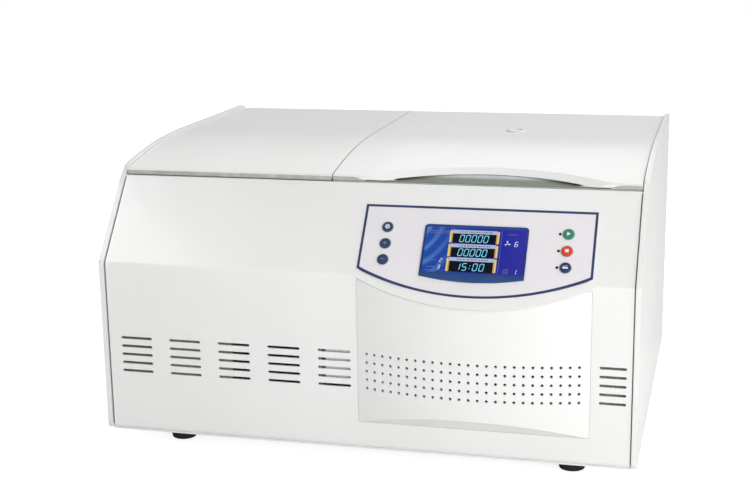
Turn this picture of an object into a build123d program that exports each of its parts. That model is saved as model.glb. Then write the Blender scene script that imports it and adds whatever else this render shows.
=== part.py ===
from build123d import *
import math
import os

os.makedirs("parts", exist_ok=True)

# Bench-top refrigerated laboratory centrifuge, in millimetres.
# It is modelled with X = 0 on the centre plane (+X is the right side seen from the front),
# Y = 0 on the lower front face (+Y towards the back) and Z = 0 at the lower edge of the
# front panel. On export every piece is moved so that the origin is the centre of the
# bounding box's underside, the plane the rubber feet stand on.

# casing
HALF_W = 310.0            # outer half width over the side panels
RIM_W = 5.8               # thickness of a side panel's raised rim
SKIN = 2.0                # side panel skin behind the rim
RIM_H = 2.0               # how far the rim stands proud of the front and top
BODY_X = HALF_W - RIM_W - 0.6     # half width of the sheets between the side panels
DEPTH = 500.0             # front face to rear face
INSIDE_BACK = 498.4       # back of the parts that meet the rear panel's inner face
PAN_Z = -5.0              # underside of the base pan
FLOOR_Z = PAN_Z + 2.0     # upper face of the base pan
FOOT_Z = -27.0            # plane the feet stand on
GAP = 0.02                # hairline gap between touching pieces

# front panel and its sloping console
SHEET = 2.5               # front panel thickness
BEND_Z = 198.3            # height of the bend between front and console
SLOPE = math.radians(50.8)        # console angle from the horizontal
SLOPE_LEN = 116.4         # console length along the slope
NORMAL_Y, NORMAL_Z = -math.sin(SLOPE), math.cos(SLOPE)    # console's outward normal
UP_Y, UP_Z = math.cos(SLOPE), math.sin(SLOPE)             # direction up the console
CONSOLE_TOP_Y = SLOPE_LEN * UP_Y
CONSOLE_TOP_Z = BEND_Z + SLOPE_LEN * UP_Z
BEND_TAN = math.tan((math.pi / 2 - SLOPE) / 2)    # bend point's drop per mm of inward offset

# top covers
TOP_Z = 315.2             # flat part of the covers
TOP_R = 875.0             # gentle roll-off radius towards the front
ROLL_Y = 260.0            # where the roll-off begins
COVER_Y = 76.5            # front edge of the covers
COVER_X = 303.2           # outer side of both covers
LID_X0 = -47.8            # left side of the lid
FIXED_X1 = -49.4          # right side of the fixed cover
LID_T = 4.5               # lid shell wall
COVER_T = 3.0             # fixed cover wall
HINGE_Y, HINGE_Z, HINGE_R = 478.0, 295.2, 20.0    # hinge axis and the cover radius about it
HINGE_X = (13.0, 243.0)
PLATE_Z0, PLATE_Z1 = 291.1, 293.1                 # lid inner plate
DECK_Z0, DECK_Z1 = 282.4, 284.4                   # deck plate

# rows of ventilation slots across the front; the bay's round holes share the rows
SLOT_ROWS = (69.1, 79.1, 89.1, 99.1, 109.1)
SLOT_H = 3.0
SLOT_PITCH = 60.0
FRONT_SLOTS = [(-268.5 + i * SLOT_PITCH, 38.4) for i in range(5)] + [(282.5, 29.0)]  # x, length

# convex perforated bay
BAY_X0, BAY_X1 = -1.5, 258.7
BAY_X = (BAY_X0 + BAY_X1) / 2
BAY_HALF = (BAY_X1 - BAY_X0) / 2
BAY_SAG = 20.5            # bulge in front of the panel
BAY_R = (BAY_HALF ** 2 + BAY_SAG ** 2) / (2 * BAY_SAG)
BAY_AXIS_Y = BAY_R - BAY_SAG
BAY_Z0, BAY_Z1 = 27.5, 192.6
BAY_SOFFIT = 0.83         # rise of the sloping underside per mm forward
BAY_T = 2.5
HOLE_R = 1.6
HOLE_COLS, HOLE_PITCH = 25, 10.0

# buttons, lamps and display, placed by x and distance up the console
BUTTON_R = 6.0
LED_X = 219.0
CONSOLE_ROWS = (60.8, 40.4, 20.6)
BUTTON_COLUMNS = {
    26.4: ("settings_button", "plus_button", "minus_button"),
    228.1: ("start_button", "stop_button", "lid_button"),
}
BUTTONS = {name: (x, up) for x, names in BUTTON_COLUMNS.items()
           for name, up in zip(names, CONSOLE_ROWS)}
FASCIA_T = 0.6

# machinery positions
ROTOR_X, ROTOR_Y = 127.7, 300.0
PORT_X, PORT_Y, PORT_HOLE_R = 127.0, 317.0, 10.2  # sight port in the lid
FAN_X, FAN_Z = -180.0, 135.0                      # condenser fan axis
COMP_X, COMP_Y = -116.0, 112.0                    # compressor axis
LOCK_X = (-5.0, 230.0)                            # left sides of the lock housings
LOCK_Y, LOCK_Z = 133.0, 266.0                     # lock bolt axis

# gas springs
STRUT_X = (288.0, -34.0)
STRUT_LOW = (478.0, 184.2)        # lower pivot (y, z)
STRUT_HIGH = (443.0, 289.2)       # upper pivot (y, z) with the lid closed
STRUT_LEN = math.dist(STRUT_LOW, STRUT_HIGH)
TUBE_LEN, TUBE_R, ROD_R = 86.0, 7.5, 3.0

# fastenings and mains fittings
SIDE_SCREW_Y, SIDE_SCREW_Z = (72.0, 440.0), 53.0
REAR_SCREWS = [(x, z) for x in (-290, -60, 60, 290) for z in (24, 262)]
INLET_X, SWITCH_X, MAINS_Z = 236.0, 178.0, 42.0
INLET_SCREWS = (INLET_X - 20, INLET_X + 20)
INLET_SCREW_R = 1.7
ROCKER_Y = 497.0                  # pivot of the switch rocker

# model extent front to back, and the move to the export origin
Y_MIN, Y_MAX = -21.3, 502.0
SHIFT = (0.0, -(Y_MIN + Y_MAX) / 2, -FOOT_Z)


# ---------------------------------------------------------------------------
# planes, outlines and basic solids
# ---------------------------------------------------------------------------
def console_plane(lift):
    """Console plane (x, distance up the slope), lifted along its outward normal."""
    return Plane(origin=(0, NORMAL_Y * lift, BEND_Z + NORMAL_Z * lift),
                 x_dir=(1, 0, 0), z_dir=(0, NORMAL_Y, NORMAL_Z))


def console_z(y):
    """Height of the console's outer face at depth y."""
    return BEND_Z + y * UP_Z / UP_Y


def side_plane(x):
    """Plane with local (y, z) that extrudes towards +X."""
    return Plane(origin=(x, 0, 0), x_dir=(0, 1, 0), z_dir=(1, 0, 0))


def front_plane(y):
    """Plane with local (x, z) that extrudes towards -Y."""
    return Plane(origin=(0, y, 0), x_dir=(1, 0, 0), z_dir=(0, -1, 0))


def block(x0, x1, y0, y1, z0, z1):
    centre = Pos((x0 + x1) / 2, (y0 + y1) / 2, (z0 + z1) / 2)
    return centre * Box(abs(x1 - x0), y1 - y0, z1 - z0)


def rod_x(y, z, radius, x0, x1):
    return Pos((x0 + x1) / 2, y, z) * Rot(0, 90, 0) * Cylinder(radius, abs(x1 - x0))


def rod_y(x, z, radius, y0, y1):
    return Pos(x, (y0 + y1) / 2, z) * Rot(90, 0, 0) * Cylinder(radius, y1 - y0)


def rod_z(x, y, radius, z0, z1):
    return Pos(x, y, (z0 + z1) / 2) * Cylinder(radius, z1 - z0)


def unit(start, end):
    length = math.dist(start[:2], end[:2])
    return (end[0] - start[0]) / length, (end[1] - start[1]) / length


def outline(points):
    """Closed outline through (x, y[, corner radius]) points."""
    count = len(points)
    corners = []          # (start, middle, end) of each corner's arc
    for i, (x, y, *radius) in enumerate(points):
        if not radius:
            corners.append(((x, y), None, (x, y)))
            continue
        back_x, back_y = unit((x, y), points[i - 1])
        next_x, next_y = unit((x, y), points[(i + 1) % count])
        cosine = back_x * next_x + back_y * next_y
        half = math.acos(max(-1, min(1, cosine))) / 2
        run = radius[0] / math.tan(half)              # corner to tangent point
        depth = radius[0] / math.sin(half) - radius[0]    # corner to arc middle
        mid_x, mid_y = unit((0, 0), (back_x + next_x, back_y + next_y))
        corners.append(((x + back_x * run, y + back_y * run),
                        (x + mid_x * depth, y + mid_y * depth),
                        (x + next_x * run, y + next_y * run)))
    edges = []
    for i, (start, middle, end) in enumerate(corners):
        if middle is not None:
            edges.append(ThreePointArc(start, middle, end))
        following = corners[(i + 1) % count][0]
        if math.dist(end, following) > 1e-6:
            edges.append(Line(end, following))
    return edges


def arc_outline(start, middle, end, *others):
    """Closed outline: one arc, then straight lines through the other points to its start."""
    points = (end, *others, start)
    return [ThreePointArc(start, middle, end)] + [Line(a, b) for a, b in zip(points, points[1:])]


def round_rect(x0, x1, y0, y1, radius):
    return outline([(x0, y0, radius), (x1, y0, radius), (x1, y1, radius), (x0, y1, radius)])


def hexagon(x, y, radius=1.5):
    """Outline of a screw's hexagon socket."""
    angles = [math.radians(60 * i) for i in range(6)]
    return outline([(x + radius * math.cos(a), y + radius * math.sin(a)) for a in angles])


def prism(edges, plane, depth):
    face = make_face(edges).face()
    return extrude(plane.location * face, amount=depth)


def slot_cutter(x, z, length, height, y):
    """Round-ended horizontal slot, cut 10 mm forward from depth y."""
    shape = Pos(x, z, 0) * SlotOverall(length, height)
    return extrude(front_plane(y).location * shape, amount=10)


def lathe(points, x, y):
    """Solid of revolution about the vertical axis at (x, y); points are (r, z[, radius])."""
    face = make_face(outline(points)).face()
    return Pos(x, y, 0) * revolve(Plane.XZ.location * face, axis=Axis.Z)


def tube(points, radius, bend=14.0):
    """Round tube along a path of 3-D points with bent corners."""
    path = FilletPolyline(*points, radius=bend) if len(points) > 2 else Line(*points)
    return sweep(Plane(origin=path @ 0, z_dir=path % 0) * Circle(radius), path=path)


def console_pin(x, up, radius, n0, n1):
    """Cylinder square to the console between two heights over its face."""
    depth = n1 - n0
    return console_plane(n0).location * (Pos(x, up, depth / 2) * Cylinder(radius, depth))


def console_box(x, up, width, height, n0, n1):
    depth = n1 - n0
    return console_plane(n0).location * (Pos(x, up, depth / 2) * Box(width, height, depth))


def four_corners(x, y, dx, dy):
    return [(x + sx * dx, y + sy * dy) for sx in (-1, 1) for sy in (-1, 1)]


PIECES = {}


def piece(build):
    """Register a function that returns the shape, or list of shapes, it is named after."""
    PIECES[build.__name__] = build
    return build


# ---------------------------------------------------------------------------
# base pan and feet
# ---------------------------------------------------------------------------
@piece
def base_pan():
    back, wall = 498.0, 1.5
    pan = block(-BODY_X, BODY_X, 1.0, back, PAN_Z, FLOOR_Z)
    pan += (block(-BODY_X, -BODY_X + wall, 4.2, back, PAN_Z, 20)
            + block(BODY_X - wall, BODY_X, 4.2, back, PAN_Z, 20))
    pan += (block(-BODY_X, BODY_X, 2.8, 2.8 + wall, PAN_Z, 12)
            + block(-BODY_X, BODY_X, back - wall, back, PAN_Z, 14))
    for i in range(6):
        x = 60 + i * 24
        for y0, y1 in ((150, 280), (320, 380)):
            pan -= block(x, x + 6, y0, y1, PAN_Z - 1, PAN_Z + 3)
    return pan


@piece
def rubber_feet():
    profile = [(0, PAN_Z), (17.5, PAN_Z), (17.5, PAN_Z - 4, 1), (14.5, FOOT_Z, 1.5),
               (7, FOOT_Z), (7, FOOT_Z + 8), (0, FOOT_Z + 8)]
    return [lathe(profile, x, y) for x, y in four_corners(0, DEPTH / 2, 235, 200)]


# ---------------------------------------------------------------------------
# front panel and console
# ---------------------------------------------------------------------------
def console_openings():
    """Cutters for the display, buttons and lamps."""
    cutters = [prism(round_rect(71.0, 183.5, 7.0, 64.5, 2), console_plane(-6), 12)]
    for x, up in BUTTONS.values():
        cutters.append(console_pin(x, up, BUTTON_R + 0.1, -6, 6))
    for up in CONSOLE_ROWS:
        cutters.append(console_pin(LED_X, up, 1.6, -6, 6))
    return cutters


@piece
def front_panel():
    """Lower face, bend, console face, top flange and curved lip over the bay."""
    flange_y = 100
    section = [
        (0, 0), (0, BEND_Z, 5), (CONSOLE_TOP_Y, CONSOLE_TOP_Z, 1.5),
        (flange_y, CONSOLE_TOP_Z), (flange_y, CONSOLE_TOP_Z - SHEET),
        (CONSOLE_TOP_Y + SHEET * math.tan(SLOPE / 2), CONSOLE_TOP_Z - SHEET, 0.3),
        (SHEET, BEND_Z - SHEET * BEND_TAN, 2.5), (SHEET, 0),
    ]
    panel = prism(outline(section), side_plane(-BODY_X), 2 * BODY_X)
    panel -= block(BAY_X0, BAY_X1, -5, 10, BAY_Z0 - 0.2, 193.0)
    lip_half, lip_reach = 134.1, 33.6
    lip = arc_outline((BAY_X - lip_half, 0), (BAY_X, -lip_reach), (BAY_X + lip_half, 0),
                      (BAY_X + lip_half - 4, 3), (BAY_X - lip_half + 4, 3))
    panel += prism(lip, console_plane(-SHEET), SHEET)
    panel -= [slot_cutter(x, z, length, SLOT_H, 6)
              for z in SLOT_ROWS for x, length in FRONT_SLOTS]
    panel -= console_openings()
    return panel


@piece
def control_fascia():
    """Overlay with a curved lower edge."""
    x0, x1, side_foot, top = -1.9, 258.5, 9.0, 89.0
    edges = arc_outline((x1, side_foot), ((x0 + x1) / 2, -20.8), (x0, side_foot),
                        (x0, top), (x1, top))
    return prism(edges, console_plane(GAP), FASCIA_T) - console_openings()


@piece
def lcd_bezel():
    """Display frame on the overlay: rounded upper corners, bowed lower edge."""
    edges = [
        Line((69.3, 3.2), (69.3, 62.3)),
        ThreePointArc((69.3, 62.3), (70.47, 65.13), (73.3, 66.3)),
        Line((73.3, 66.3), (181.2, 66.3)),
        ThreePointArc((181.2, 66.3), (184.03, 65.13), (185.2, 62.3)),
        Line((185.2, 62.3), (185.2, 3.2)),
        ThreePointArc((185.2, 3.2), (127.3, -2.6), (69.3, 3.2)),
    ]
    frame = prism(edges, console_plane(FASCIA_T + 0.04), 1.2)
    return frame - prism(round_rect(71.8, 182.8, 8.2, 63.4, 1.5),
                         console_plane(FASCIA_T + 0.5), 3)


@piece
def lcd_module():
    window = prism(round_rect(71.4, 183.2, 7.6, 64.1, 1.5), console_plane(-6.5), 6.9)
    backing = prism(round_rect(66.0, 188.0, -1.0, 72.0, 1.0), console_plane(-10.0), 3.4)
    return [window, backing]


def button(x, up):
    """Cap with a rounded top edge and a retaining flange below the panel."""
    cap = console_pin(x, up, BUTTON_R, -7.0, 2.4)
    cap += console_pin(x, up, 7.4, -4.1, -2.8)
    top = cap.faces().sort_by(lambda f: f.center().Y * NORMAL_Y + f.center().Z * NORMAL_Z)[-1]
    return fillet(top.edges(), 0.9)


@piece
def status_leds():
    return [console_pin(LED_X, up, 1.5, -4.0, 1.0) for up in CONSOLE_ROWS]


@piece
def control_board():
    """Board behind the console, a switch under each button, components on its back."""
    board = prism(round_rect(4.0, 253.0, -4.0, 82.0, 2), console_plane(-14.0), 1.6)
    for x, up in BUTTONS.values():
        board += console_box(x, up, 7, 7, -12.6, -9.4)
    # x, distance up the slope, width, height, depth
    components = [(100, 35, 26, 26, 2), (150, 50, 14, 20, 6),
                  (60, 15, 16, 22, 9), (195, 30, 20, 12, 5)]
    for x, up, width, height, depth in components:
        board += console_box(x, up, width, height, -13.9 - depth, -13.9)
    return board


@piece
def front_seal():
    """Strip on the front panel's top flange, under the lid's front edge."""
    return block(-46.0, 302.0, 75.2, 99.0, CONSOLE_TOP_Z + GAP, CONSOLE_TOP_Z + 1.6)


# ---------------------------------------------------------------------------
# convex perforated bay
# ---------------------------------------------------------------------------
def bay_block(inset, y_back, z0, z1):
    """Upright block with the bay's bowed front, set in by a wall thickness."""
    half = BAY_HALF - 0.15 - inset
    radius = BAY_R - inset
    y_end = BAY_AXIS_Y - math.sqrt(radius ** 2 - half ** 2)
    edges = arc_outline((BAY_X - half, y_end), (BAY_X, BAY_AXIS_Y - radius),
                        (BAY_X + half, y_end), (BAY_X + half, y_back), (BAY_X - half, y_back))
    return prism(edges, Plane.XY.offset(z0), z1 - z0)


def soffit_cutter(lift):
    """Cutter under the sloping underside, moved in square to it by lift."""
    rise = lift * math.sqrt(1 + BAY_SOFFIT ** 2)
    back_z = BAY_Z0 + lift
    section = [(-60, BAY_Z0 + rise + 60 * BAY_SOFFIT), ((rise - lift) / BAY_SOFFIT, back_z),
               (30, back_z), (30, -50), (-60, -50)]
    return prism(outline(section), side_plane(-50), 400)


@piece
def front_grille():
    # the bay's top stays below the console lip
    lip_gap = 2.7 / NORMAL_Z
    top_section = [(-60, console_z(-60) - lip_gap), (60, console_z(60) - lip_gap),
                   (60, 400), (-60, 400)]
    top_cutter = prism(outline(top_section), side_plane(-50), 400)
    flange_back = 4.6
    outer = bay_block(0, flange_back, 5, 210) - soffit_cutter(0) - top_cutter
    outer -= block(-50, 350, -0.3, 20, BAY_Z1, 260)
    inner = bay_block(BAY_T, 12.0, 5, 230) - soffit_cutter(BAY_T)
    flange = block(BAY_X0 - 8, BAY_X1 + 8, 2.7, flange_back, BAY_Z0 - 8, BAY_Z1)
    bay = (outer + flange) - inner
    drills = []
    for i in range(HOLE_COLS):
        angle = (i - (HOLE_COLS - 1) / 2) * HOLE_PITCH / BAY_R
        sine, cosine = math.sin(angle), math.cos(angle)
        for z in SLOT_ROWS:
            at = Plane(origin=(BAY_X + BAY_R * sine, BAY_AXIS_Y - BAY_R * cosine, z),
                       z_dir=(-sine, cosine, 0))
            drills.append(at.location * Cylinder(HOLE_R, 16))
    return bay - drills


# ---------------------------------------------------------------------------
# side panels, rear panel and their screws
# ---------------------------------------------------------------------------
def side_outline(inset):
    """Side panel outline in (y, z[, corner radius]), set in from the rim's outer edge."""
    offset = inset - RIM_H        # measured inwards from the front and console faces
    back, top = DEPTH - inset, 317.3 - inset
    radius = TOP_R + RIM_H - inset
    rise_y = 66.0
    points = [
        (offset, PAN_Z + inset, max(9 - inset, 2)),
        (offset, BEND_Z - offset * BEND_TAN, 8),
        (rise_y - NORMAL_Y * offset, console_z(rise_y) - NORMAL_Z * offset, 10),
    ]
    # stations along the roll-off: y, drop below the arc, corner radius
    stations = [(84, 0.6, 12), (92, 0, 30), (104, 0, 60), (120, 0, 60), (140, 0, 60),
                (165, 0, 60), (195, 0, 60), (228, 0, 60), (ROLL_Y, 0, 30)]
    for y, drop, corner in stations:
        arc_z = top - radius + math.sqrt(radius ** 2 - (ROLL_Y - y) ** 2)
        points.append((y, arc_z - drop, corner))
    return outline(points + [(back, top, 12), (back, PAN_Z + inset, 6)])


@piece
def right_side_panel():
    """Skin with a raised rim all round."""
    inner_x = HALF_W - RIM_W
    panel = prism(side_outline(0.0), side_plane(inner_x), RIM_W)
    panel -= prism(side_outline(6.0), side_plane(inner_x - 1), RIM_W - SKIN + 1)
    for y in SIDE_SCREW_Y:
        panel -= rod_x(y, SIDE_SCREW_Z, 4.2, HALF_W - 6, HALF_W + 1)
    return panel


@piece
def left_side_panel():
    return mirror(right_side_panel(), about=Plane.YZ)


@piece
def panel_screws():
    side, rear = [], []
    z = SIDE_SCREW_Z
    for y in SIDE_SCREW_Y:
        screw = (rod_x(y, z, 4.0, HALF_W - 3.2, HALF_W - 0.3)
                 + rod_x(y, z, 2.0, HALF_W - 7.5, HALF_W - 3.2))
        screw -= prism(hexagon(y, z), side_plane(HALF_W - 2.2), 3)
        side += [mirror(screw, about=Plane.YZ), screw]
    for x, z in REAR_SCREWS:
        screw = (rod_y(x, z, 4.0, DEPTH + GAP, DEPTH + 1.9)
                 + rod_y(x, z, 1.9, DEPTH - 7, DEPTH + GAP))
        screw -= prism(hexagon(x, z), front_plane(DEPTH + 3), 2.2)
        rear.append(screw)
    return side + rear


@piece
def rear_panel():
    """Sheet with a round fan grille, a column of slots and the mains openings."""
    panel = block(-BODY_X, BODY_X, 498.6, DEPTH, PAN_Z + 3, 288.5)
    y0, y1 = 490, 505
    grille_r, rib = 92.0, 4       # grille radius and half width of its upright rib
    cutters = []
    for i in range(-7, 8):
        rise = i * 12.0
        length = math.sqrt(grille_r ** 2 - rise ** 2) - rib
        for side in (-1, 1):
            x = FAN_X + side * (rib + length / 2)
            cutters.append(slot_cutter(x, FAN_Z + rise, length, 5.0, y1))
    for i in range(8):
        cutters.append(slot_cutter(-20, 90 + i * 12, 44, 4.0, y1))
    for x, half_w, half_h in ((INLET_X, 14, 10.5), (SWITCH_X, 10.5, 14)):
        cutters.append(block(x - half_w, x + half_w, y0, y1, MAINS_Z - half_h, MAINS_Z + half_h))
    for x, z in REAR_SCREWS:
        cutters.append(rod_y(x, z, 2.0, y0, y1))
    for x in INLET_SCREWS:
        cutters.append(rod_y(x, MAINS_Z, INLET_SCREW_R, y0, y1))
    return panel - cutters


# ---------------------------------------------------------------------------
# top: fixed cover and hinged lid
# ---------------------------------------------------------------------------
def cover_section(inset, below=0.0):
    """Cover section in (y, z): front edge, roll-off arc, flat, rear radius about the hinge."""
    radius = TOP_R - inset
    arc_z = TOP_Z - TOP_R                 # centre of the roll-off arc
    top = arc_z + radius
    front = COVER_Y + inset
    nose = max(4.0 - inset, 0.8)          # radius between front edge and roll-off
    nose_y = front + nose
    nose_z = arc_z + math.sqrt((radius - nose) ** 2 - (ROLL_Y - nose_y) ** 2)
    tangent_y, tangent_z = unit((ROLL_Y, arc_z), (nose_y, nose_z))
    nose_end = (ROLL_Y + tangent_y * radius, arc_z + tangent_z * radius)
    nose_mid = (math.pi + math.atan2(tangent_z, tangent_y)) / 2
    roll_mid = (math.atan2(tangent_z, tangent_y) + math.pi / 2) / 2
    rear_r = HINGE_R - inset
    rear_mid, rear_low = math.radians(39), math.radians(-12)
    rear_end = (HINGE_Y + rear_r * math.cos(rear_low), HINGE_Z + rear_r * math.sin(rear_low))
    bottom = HINGE_Z + HINGE_R * math.sin(rear_low) - below
    edges = [
        Line((front, bottom), (front, nose_z)),
        ThreePointArc((front, nose_z),
                      (nose_y + nose * math.cos(nose_mid), nose_z + nose * math.sin(nose_mid)),
                      nose_end),
        ThreePointArc(nose_end,
                      (ROLL_Y + radius * math.cos(roll_mid), arc_z + radius * math.sin(roll_mid)),
                      (ROLL_Y, top)),
        Line((ROLL_Y, top), (HINGE_Y, top)),
        ThreePointArc((HINGE_Y, top), (HINGE_Y + rear_r * math.cos(rear_mid),
                                       HINGE_Z + rear_r * math.sin(rear_mid)), rear_end),
    ]
    if rear_end[1] - bottom > 1e-6:
        edges.append(Line(rear_end, (rear_end[0], bottom)))
    edges.append(Line((rear_end[0], bottom), (front, bottom)))
    return edges


def cover_shell(x0, x1, wall):
    """Cover between x0 and x1, hollow and open underneath."""
    shell = prism(cover_section(0), side_plane(x0), x1 - x0)
    shell -= prism(cover_section(wall, 3.0), side_plane(x0 + wall), x1 - x0 - 2 * wall)
    return shell


@piece
def fixed_top_cover():
    return cover_shell(-COVER_X, FIXED_X1, COVER_T)


@piece
def lid_shell():
    lid = cover_shell(LID_X0, COVER_X, LID_T)
    # finger scoop: a wide shallow groove running down and forward through the front edge
    radius, tilt = 800.0, math.radians(30)
    sine, cosine = math.sin(tilt), math.cos(tilt)
    axis = Plane(origin=(130.5, 115.0 - sine * radius, 303.2 + cosine * radius),
                 z_dir=(0, -cosine, -sine))
    lid -= axis.location * Cylinder(radius, 240)
    return lid - rod_z(PORT_X, PORT_Y, PORT_HOLE_R, 300, 330)


@piece
def handle_pocket():
    """Wall behind the finger scoop, trimmed to the inside of the lid."""
    inside = prism(cover_section(LID_T + 0.15, 0.5), side_plane(-20), 300)
    return inside & block(-10, 270, 118.0, 121.0, 285, 330)


@piece
def lid_inner_plate():
    """Plate with stiffening ribs, and lugs at the upper gas spring pivots."""
    inset = LID_T + 0.3
    plate = block(LID_X0 + inset, COVER_X - inset, 122.0, 452.0, PLATE_Z0, PLATE_Z1)
    plate -= rod_z(PORT_X, PORT_Y, PORT_HOLE_R, 280, 300)
    plate += (block(-40, 296, 200, 203, PLATE_Z1, 303)
              + block(-40, 296, 380, 383, PLATE_Z1, 305))
    plate += (block(20, 23, 140, 420, PLATE_Z1, 301)
              + block(232, 235, 140, 420, PLATE_Z1, 301))
    plate -= block(281, 292.6, 430, 455, 280, 310) + block(-38.6, -28, 430, 455, 280, 310)
    for x in STRUT_X:
        side = math.copysign(1, x)
        x0, x1 = x + side * 4.8, x + side * 7.8
        plate += block(x0, x1, 437, 449, 283, 291.6) + block(x0, x1, 430, 451, 288.5, 291.6)
    return plate


@piece
def lid_gasket():
    low, high = 286.3, PLATE_Z0 - 0.05
    return lathe([(137, low, 1), (145, low, 1), (145, high), (137, high)], ROTOR_X, ROTOR_Y)


@piece
def sight_port():
    return lathe([(0, 289.5), (8, 289.5), (10.0, 291.5), (10.0, TOP_Z + 0.05),
                  (12.5, TOP_Z + 0.05), (12.5, TOP_Z + 1.1, 0.6), (8.5, TOP_Z + 1.5, 0.5),
                  (7.5, TOP_Z + 0.3), (0, TOP_Z + 0.3)], PORT_X, PORT_Y)


# ---------------------------------------------------------------------------
# lid hinges, rear beam and gas springs
# ---------------------------------------------------------------------------
HINGE_EYE_R, HINGE_BORE_R = 7.5, 4.0


@piece
def hinge_arms():
    arms = []
    for x in HINGE_X:
        arm = (block(x - 3, x + 3, 425, 470, PLATE_Z1 + 0.1, 302)
               + rod_x(HINGE_Y, HINGE_Z, HINGE_EYE_R, x - 3, x + 3)
               + block(x - 3, x + 3, 466, HINGE_Y, PLATE_Z1 + 0.1, 302))
        arm += block(x - 12, x + 12, 425, 450, PLATE_Z1 + 0.05, 296)
        arm -= rod_x(HINGE_Y, HINGE_Z, HINGE_BORE_R, x - 5, x + 5)
        arms.append(arm)
    return arms


@piece
def hinge_pins():
    return [rod_x(HINGE_Y, HINGE_Z, HINGE_BORE_R - 0.05, x - 12, x + 12)
            + rod_x(HINGE_Y, HINGE_Z, 5.5, x - 13.5, x - 12) for x in HINGE_X]


@piece
def hinge_brackets():
    """A pair of upright cheeks astride each hinge arm."""
    brackets = []
    for centre in [x + offset for x in HINGE_X for offset in (-6.6, 6.6)]:
        x0, x1 = centre - 2.5, centre + 2.5
        cheek = (block(x0, x1, 464, 476.0, 225, 295)
                 + rod_x(HINGE_Y - 0.5, HINGE_Z, HINGE_EYE_R, x0, x1)
                 + block(x0, x1, 464, 483.9, 225, 268))
        cheek -= rod_x(HINGE_Y, HINGE_Z, HINGE_BORE_R, centre - 4, centre + 4)
        brackets.append(cheek)
    return brackets


@piece
def rear_beam():
    """Channel across the back, with the brackets and studs of the lower spring pivots."""
    beam = (block(-44, 300, 484, INSIDE_BACK, 225, 270)
            - block(-50, 310, 486, 499, 227, 268))
    for x in STRUT_X:
        side = math.copysign(1, x)
        x0, x1 = x + side * 8.2, x + side * 11.2
        beam += (rod_x(*STRUT_LOW, 4.0, x - side * 5, x1)
                 + block(x0, x1, 468, INSIDE_BACK, 174, 198)
                 + block(x0, x1, 487, INSIDE_BACK, 190, 228))
    return beam


def along_strut(x, radius, start, end):
    """Cylinder on the spring's axis, between two distances from the lower pivot."""
    axis = Plane(origin=(x, *STRUT_LOW), x_dir=(1, 0, 0),
                 z_dir=(0, *unit(STRUT_LOW, STRUT_HIGH)))
    return axis.location * (Pos(0, 0, (start + end) / 2) * Cylinder(radius, end - start))


@piece
def gas_spring_tubes():
    tubes = []
    for x in STRUT_X:
        body = (along_strut(x, TUBE_R, 10, TUBE_LEN) + along_strut(x, 3.2, 5, 11)
                + rod_x(*STRUT_LOW, 6.5, x - 4, x + 4))
        body -= along_strut(x, ROD_R + 0.05, 18, TUBE_LEN + 5)
        body -= rod_x(*STRUT_LOW, 4.05, x - 6, x + 6)
        tubes.append(body)
    return tubes


@piece
def gas_spring_rods():
    return [along_strut(x, ROD_R, 22, STRUT_LEN - 3) + rod_x(*STRUT_HIGH, 5.0, x - 4, x + 4)
            for x in STRUT_X]


# ---------------------------------------------------------------------------
# lid locks: strikers on the lid; housings, bolts and solenoids below the deck
# ---------------------------------------------------------------------------
BOLT_R = 4.0
BOLT_BORE_R = BOLT_R + 0.05


@piece
def lock_strikers():
    top = PLATE_Z0 - 0.05
    return [block(x + 26, x + 30, 126, 140, 254, top)
            + block(x + 20, x + 36, 126, 140, 288.0, top)
            - rod_x(LOCK_Y, LOCK_Z, 5.5, x + 20, x + 36) for x in LOCK_X]


@piece
def lock_housings():
    return [block(x, x + 40, 118, 148, 240, DECK_Z0 - 0.2)
            - block(x + 22, x + 34, 121, 145, 250, 290)
            - rod_x(LOCK_Y, LOCK_Z, BOLT_BORE_R, x - 5, x + 39) for x in LOCK_X]


@piece
def lock_bolts():
    return [rod_x(LOCK_Y, LOCK_Z, BOLT_R, x - 18, x + 21) for x in LOCK_X]


@piece
def lock_solenoids():
    return [block(x - 30, x - 0.05, 120, 146, 253, 279)
            - rod_x(LOCK_Y, LOCK_Z, BOLT_BORE_R, x - 26, x + 2) for x in LOCK_X]


# ---------------------------------------------------------------------------
# chassis: deck and partition
# ---------------------------------------------------------------------------
@piece
def deck_plate():
    """Deck with the chamber opening, cut-outs for locks, springs and hinges, front flange."""
    x0, x1, front = -45.2, 302.0, 102.0
    cut = (270, 290)              # height range of the cutters
    deck = block(x0, x1, front, 462.0, DECK_Z0, DECK_Z1)
    deck -= rod_z(ROTOR_X, ROTOR_Y, 134.6, *cut)
    for x in LOCK_X:
        deck -= block(x + 19, x + 37, 120.5, 145.5, *cut)
    for x in STRUT_X:
        deck -= block(x - 12, x + 13, 425, 470, *cut)
    for x in HINGE_X:
        deck -= block(x - 16, x + 16, 458, 470, *cut)
    deck -= block(-46, -30, 425, 470, *cut)
    deck += block(x0, x1, front, front + 2, 262, DECK_Z1)
    return deck


@piece
def partition_wall():
    """Upright wall left of the chamber, with holes for two pipes and the harness."""
    section = [(6, -2.9), (6, 190), (76, 279), (455, 281.5), (455, 268), (495, 268), (495, -2.9)]
    wall = prism(outline(section), side_plane(-47.2), 1.5)
    wall -= [rod_x(y, z, radius, -50, -40)
             for y, z, radius in ((200, 230, 6.5), (230, 245, 6.5), (62, 222, 8.0))]
    return wall


# ---------------------------------------------------------------------------
# rotor chamber; the lathe profiles are (r, z[, corner radius]) about the rotor axis
# ---------------------------------------------------------------------------
@piece
def chamber_bowl():
    return lathe([(31, 169), (134.2, 169, 20), (134.2, 284.6), (147, 284.6), (147, 286.0),
                  (133.0, 286.0, 0.6), (133.0, 170.2, 18.8), (31, 170.2)], ROTOR_X, ROTOR_Y)


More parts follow.
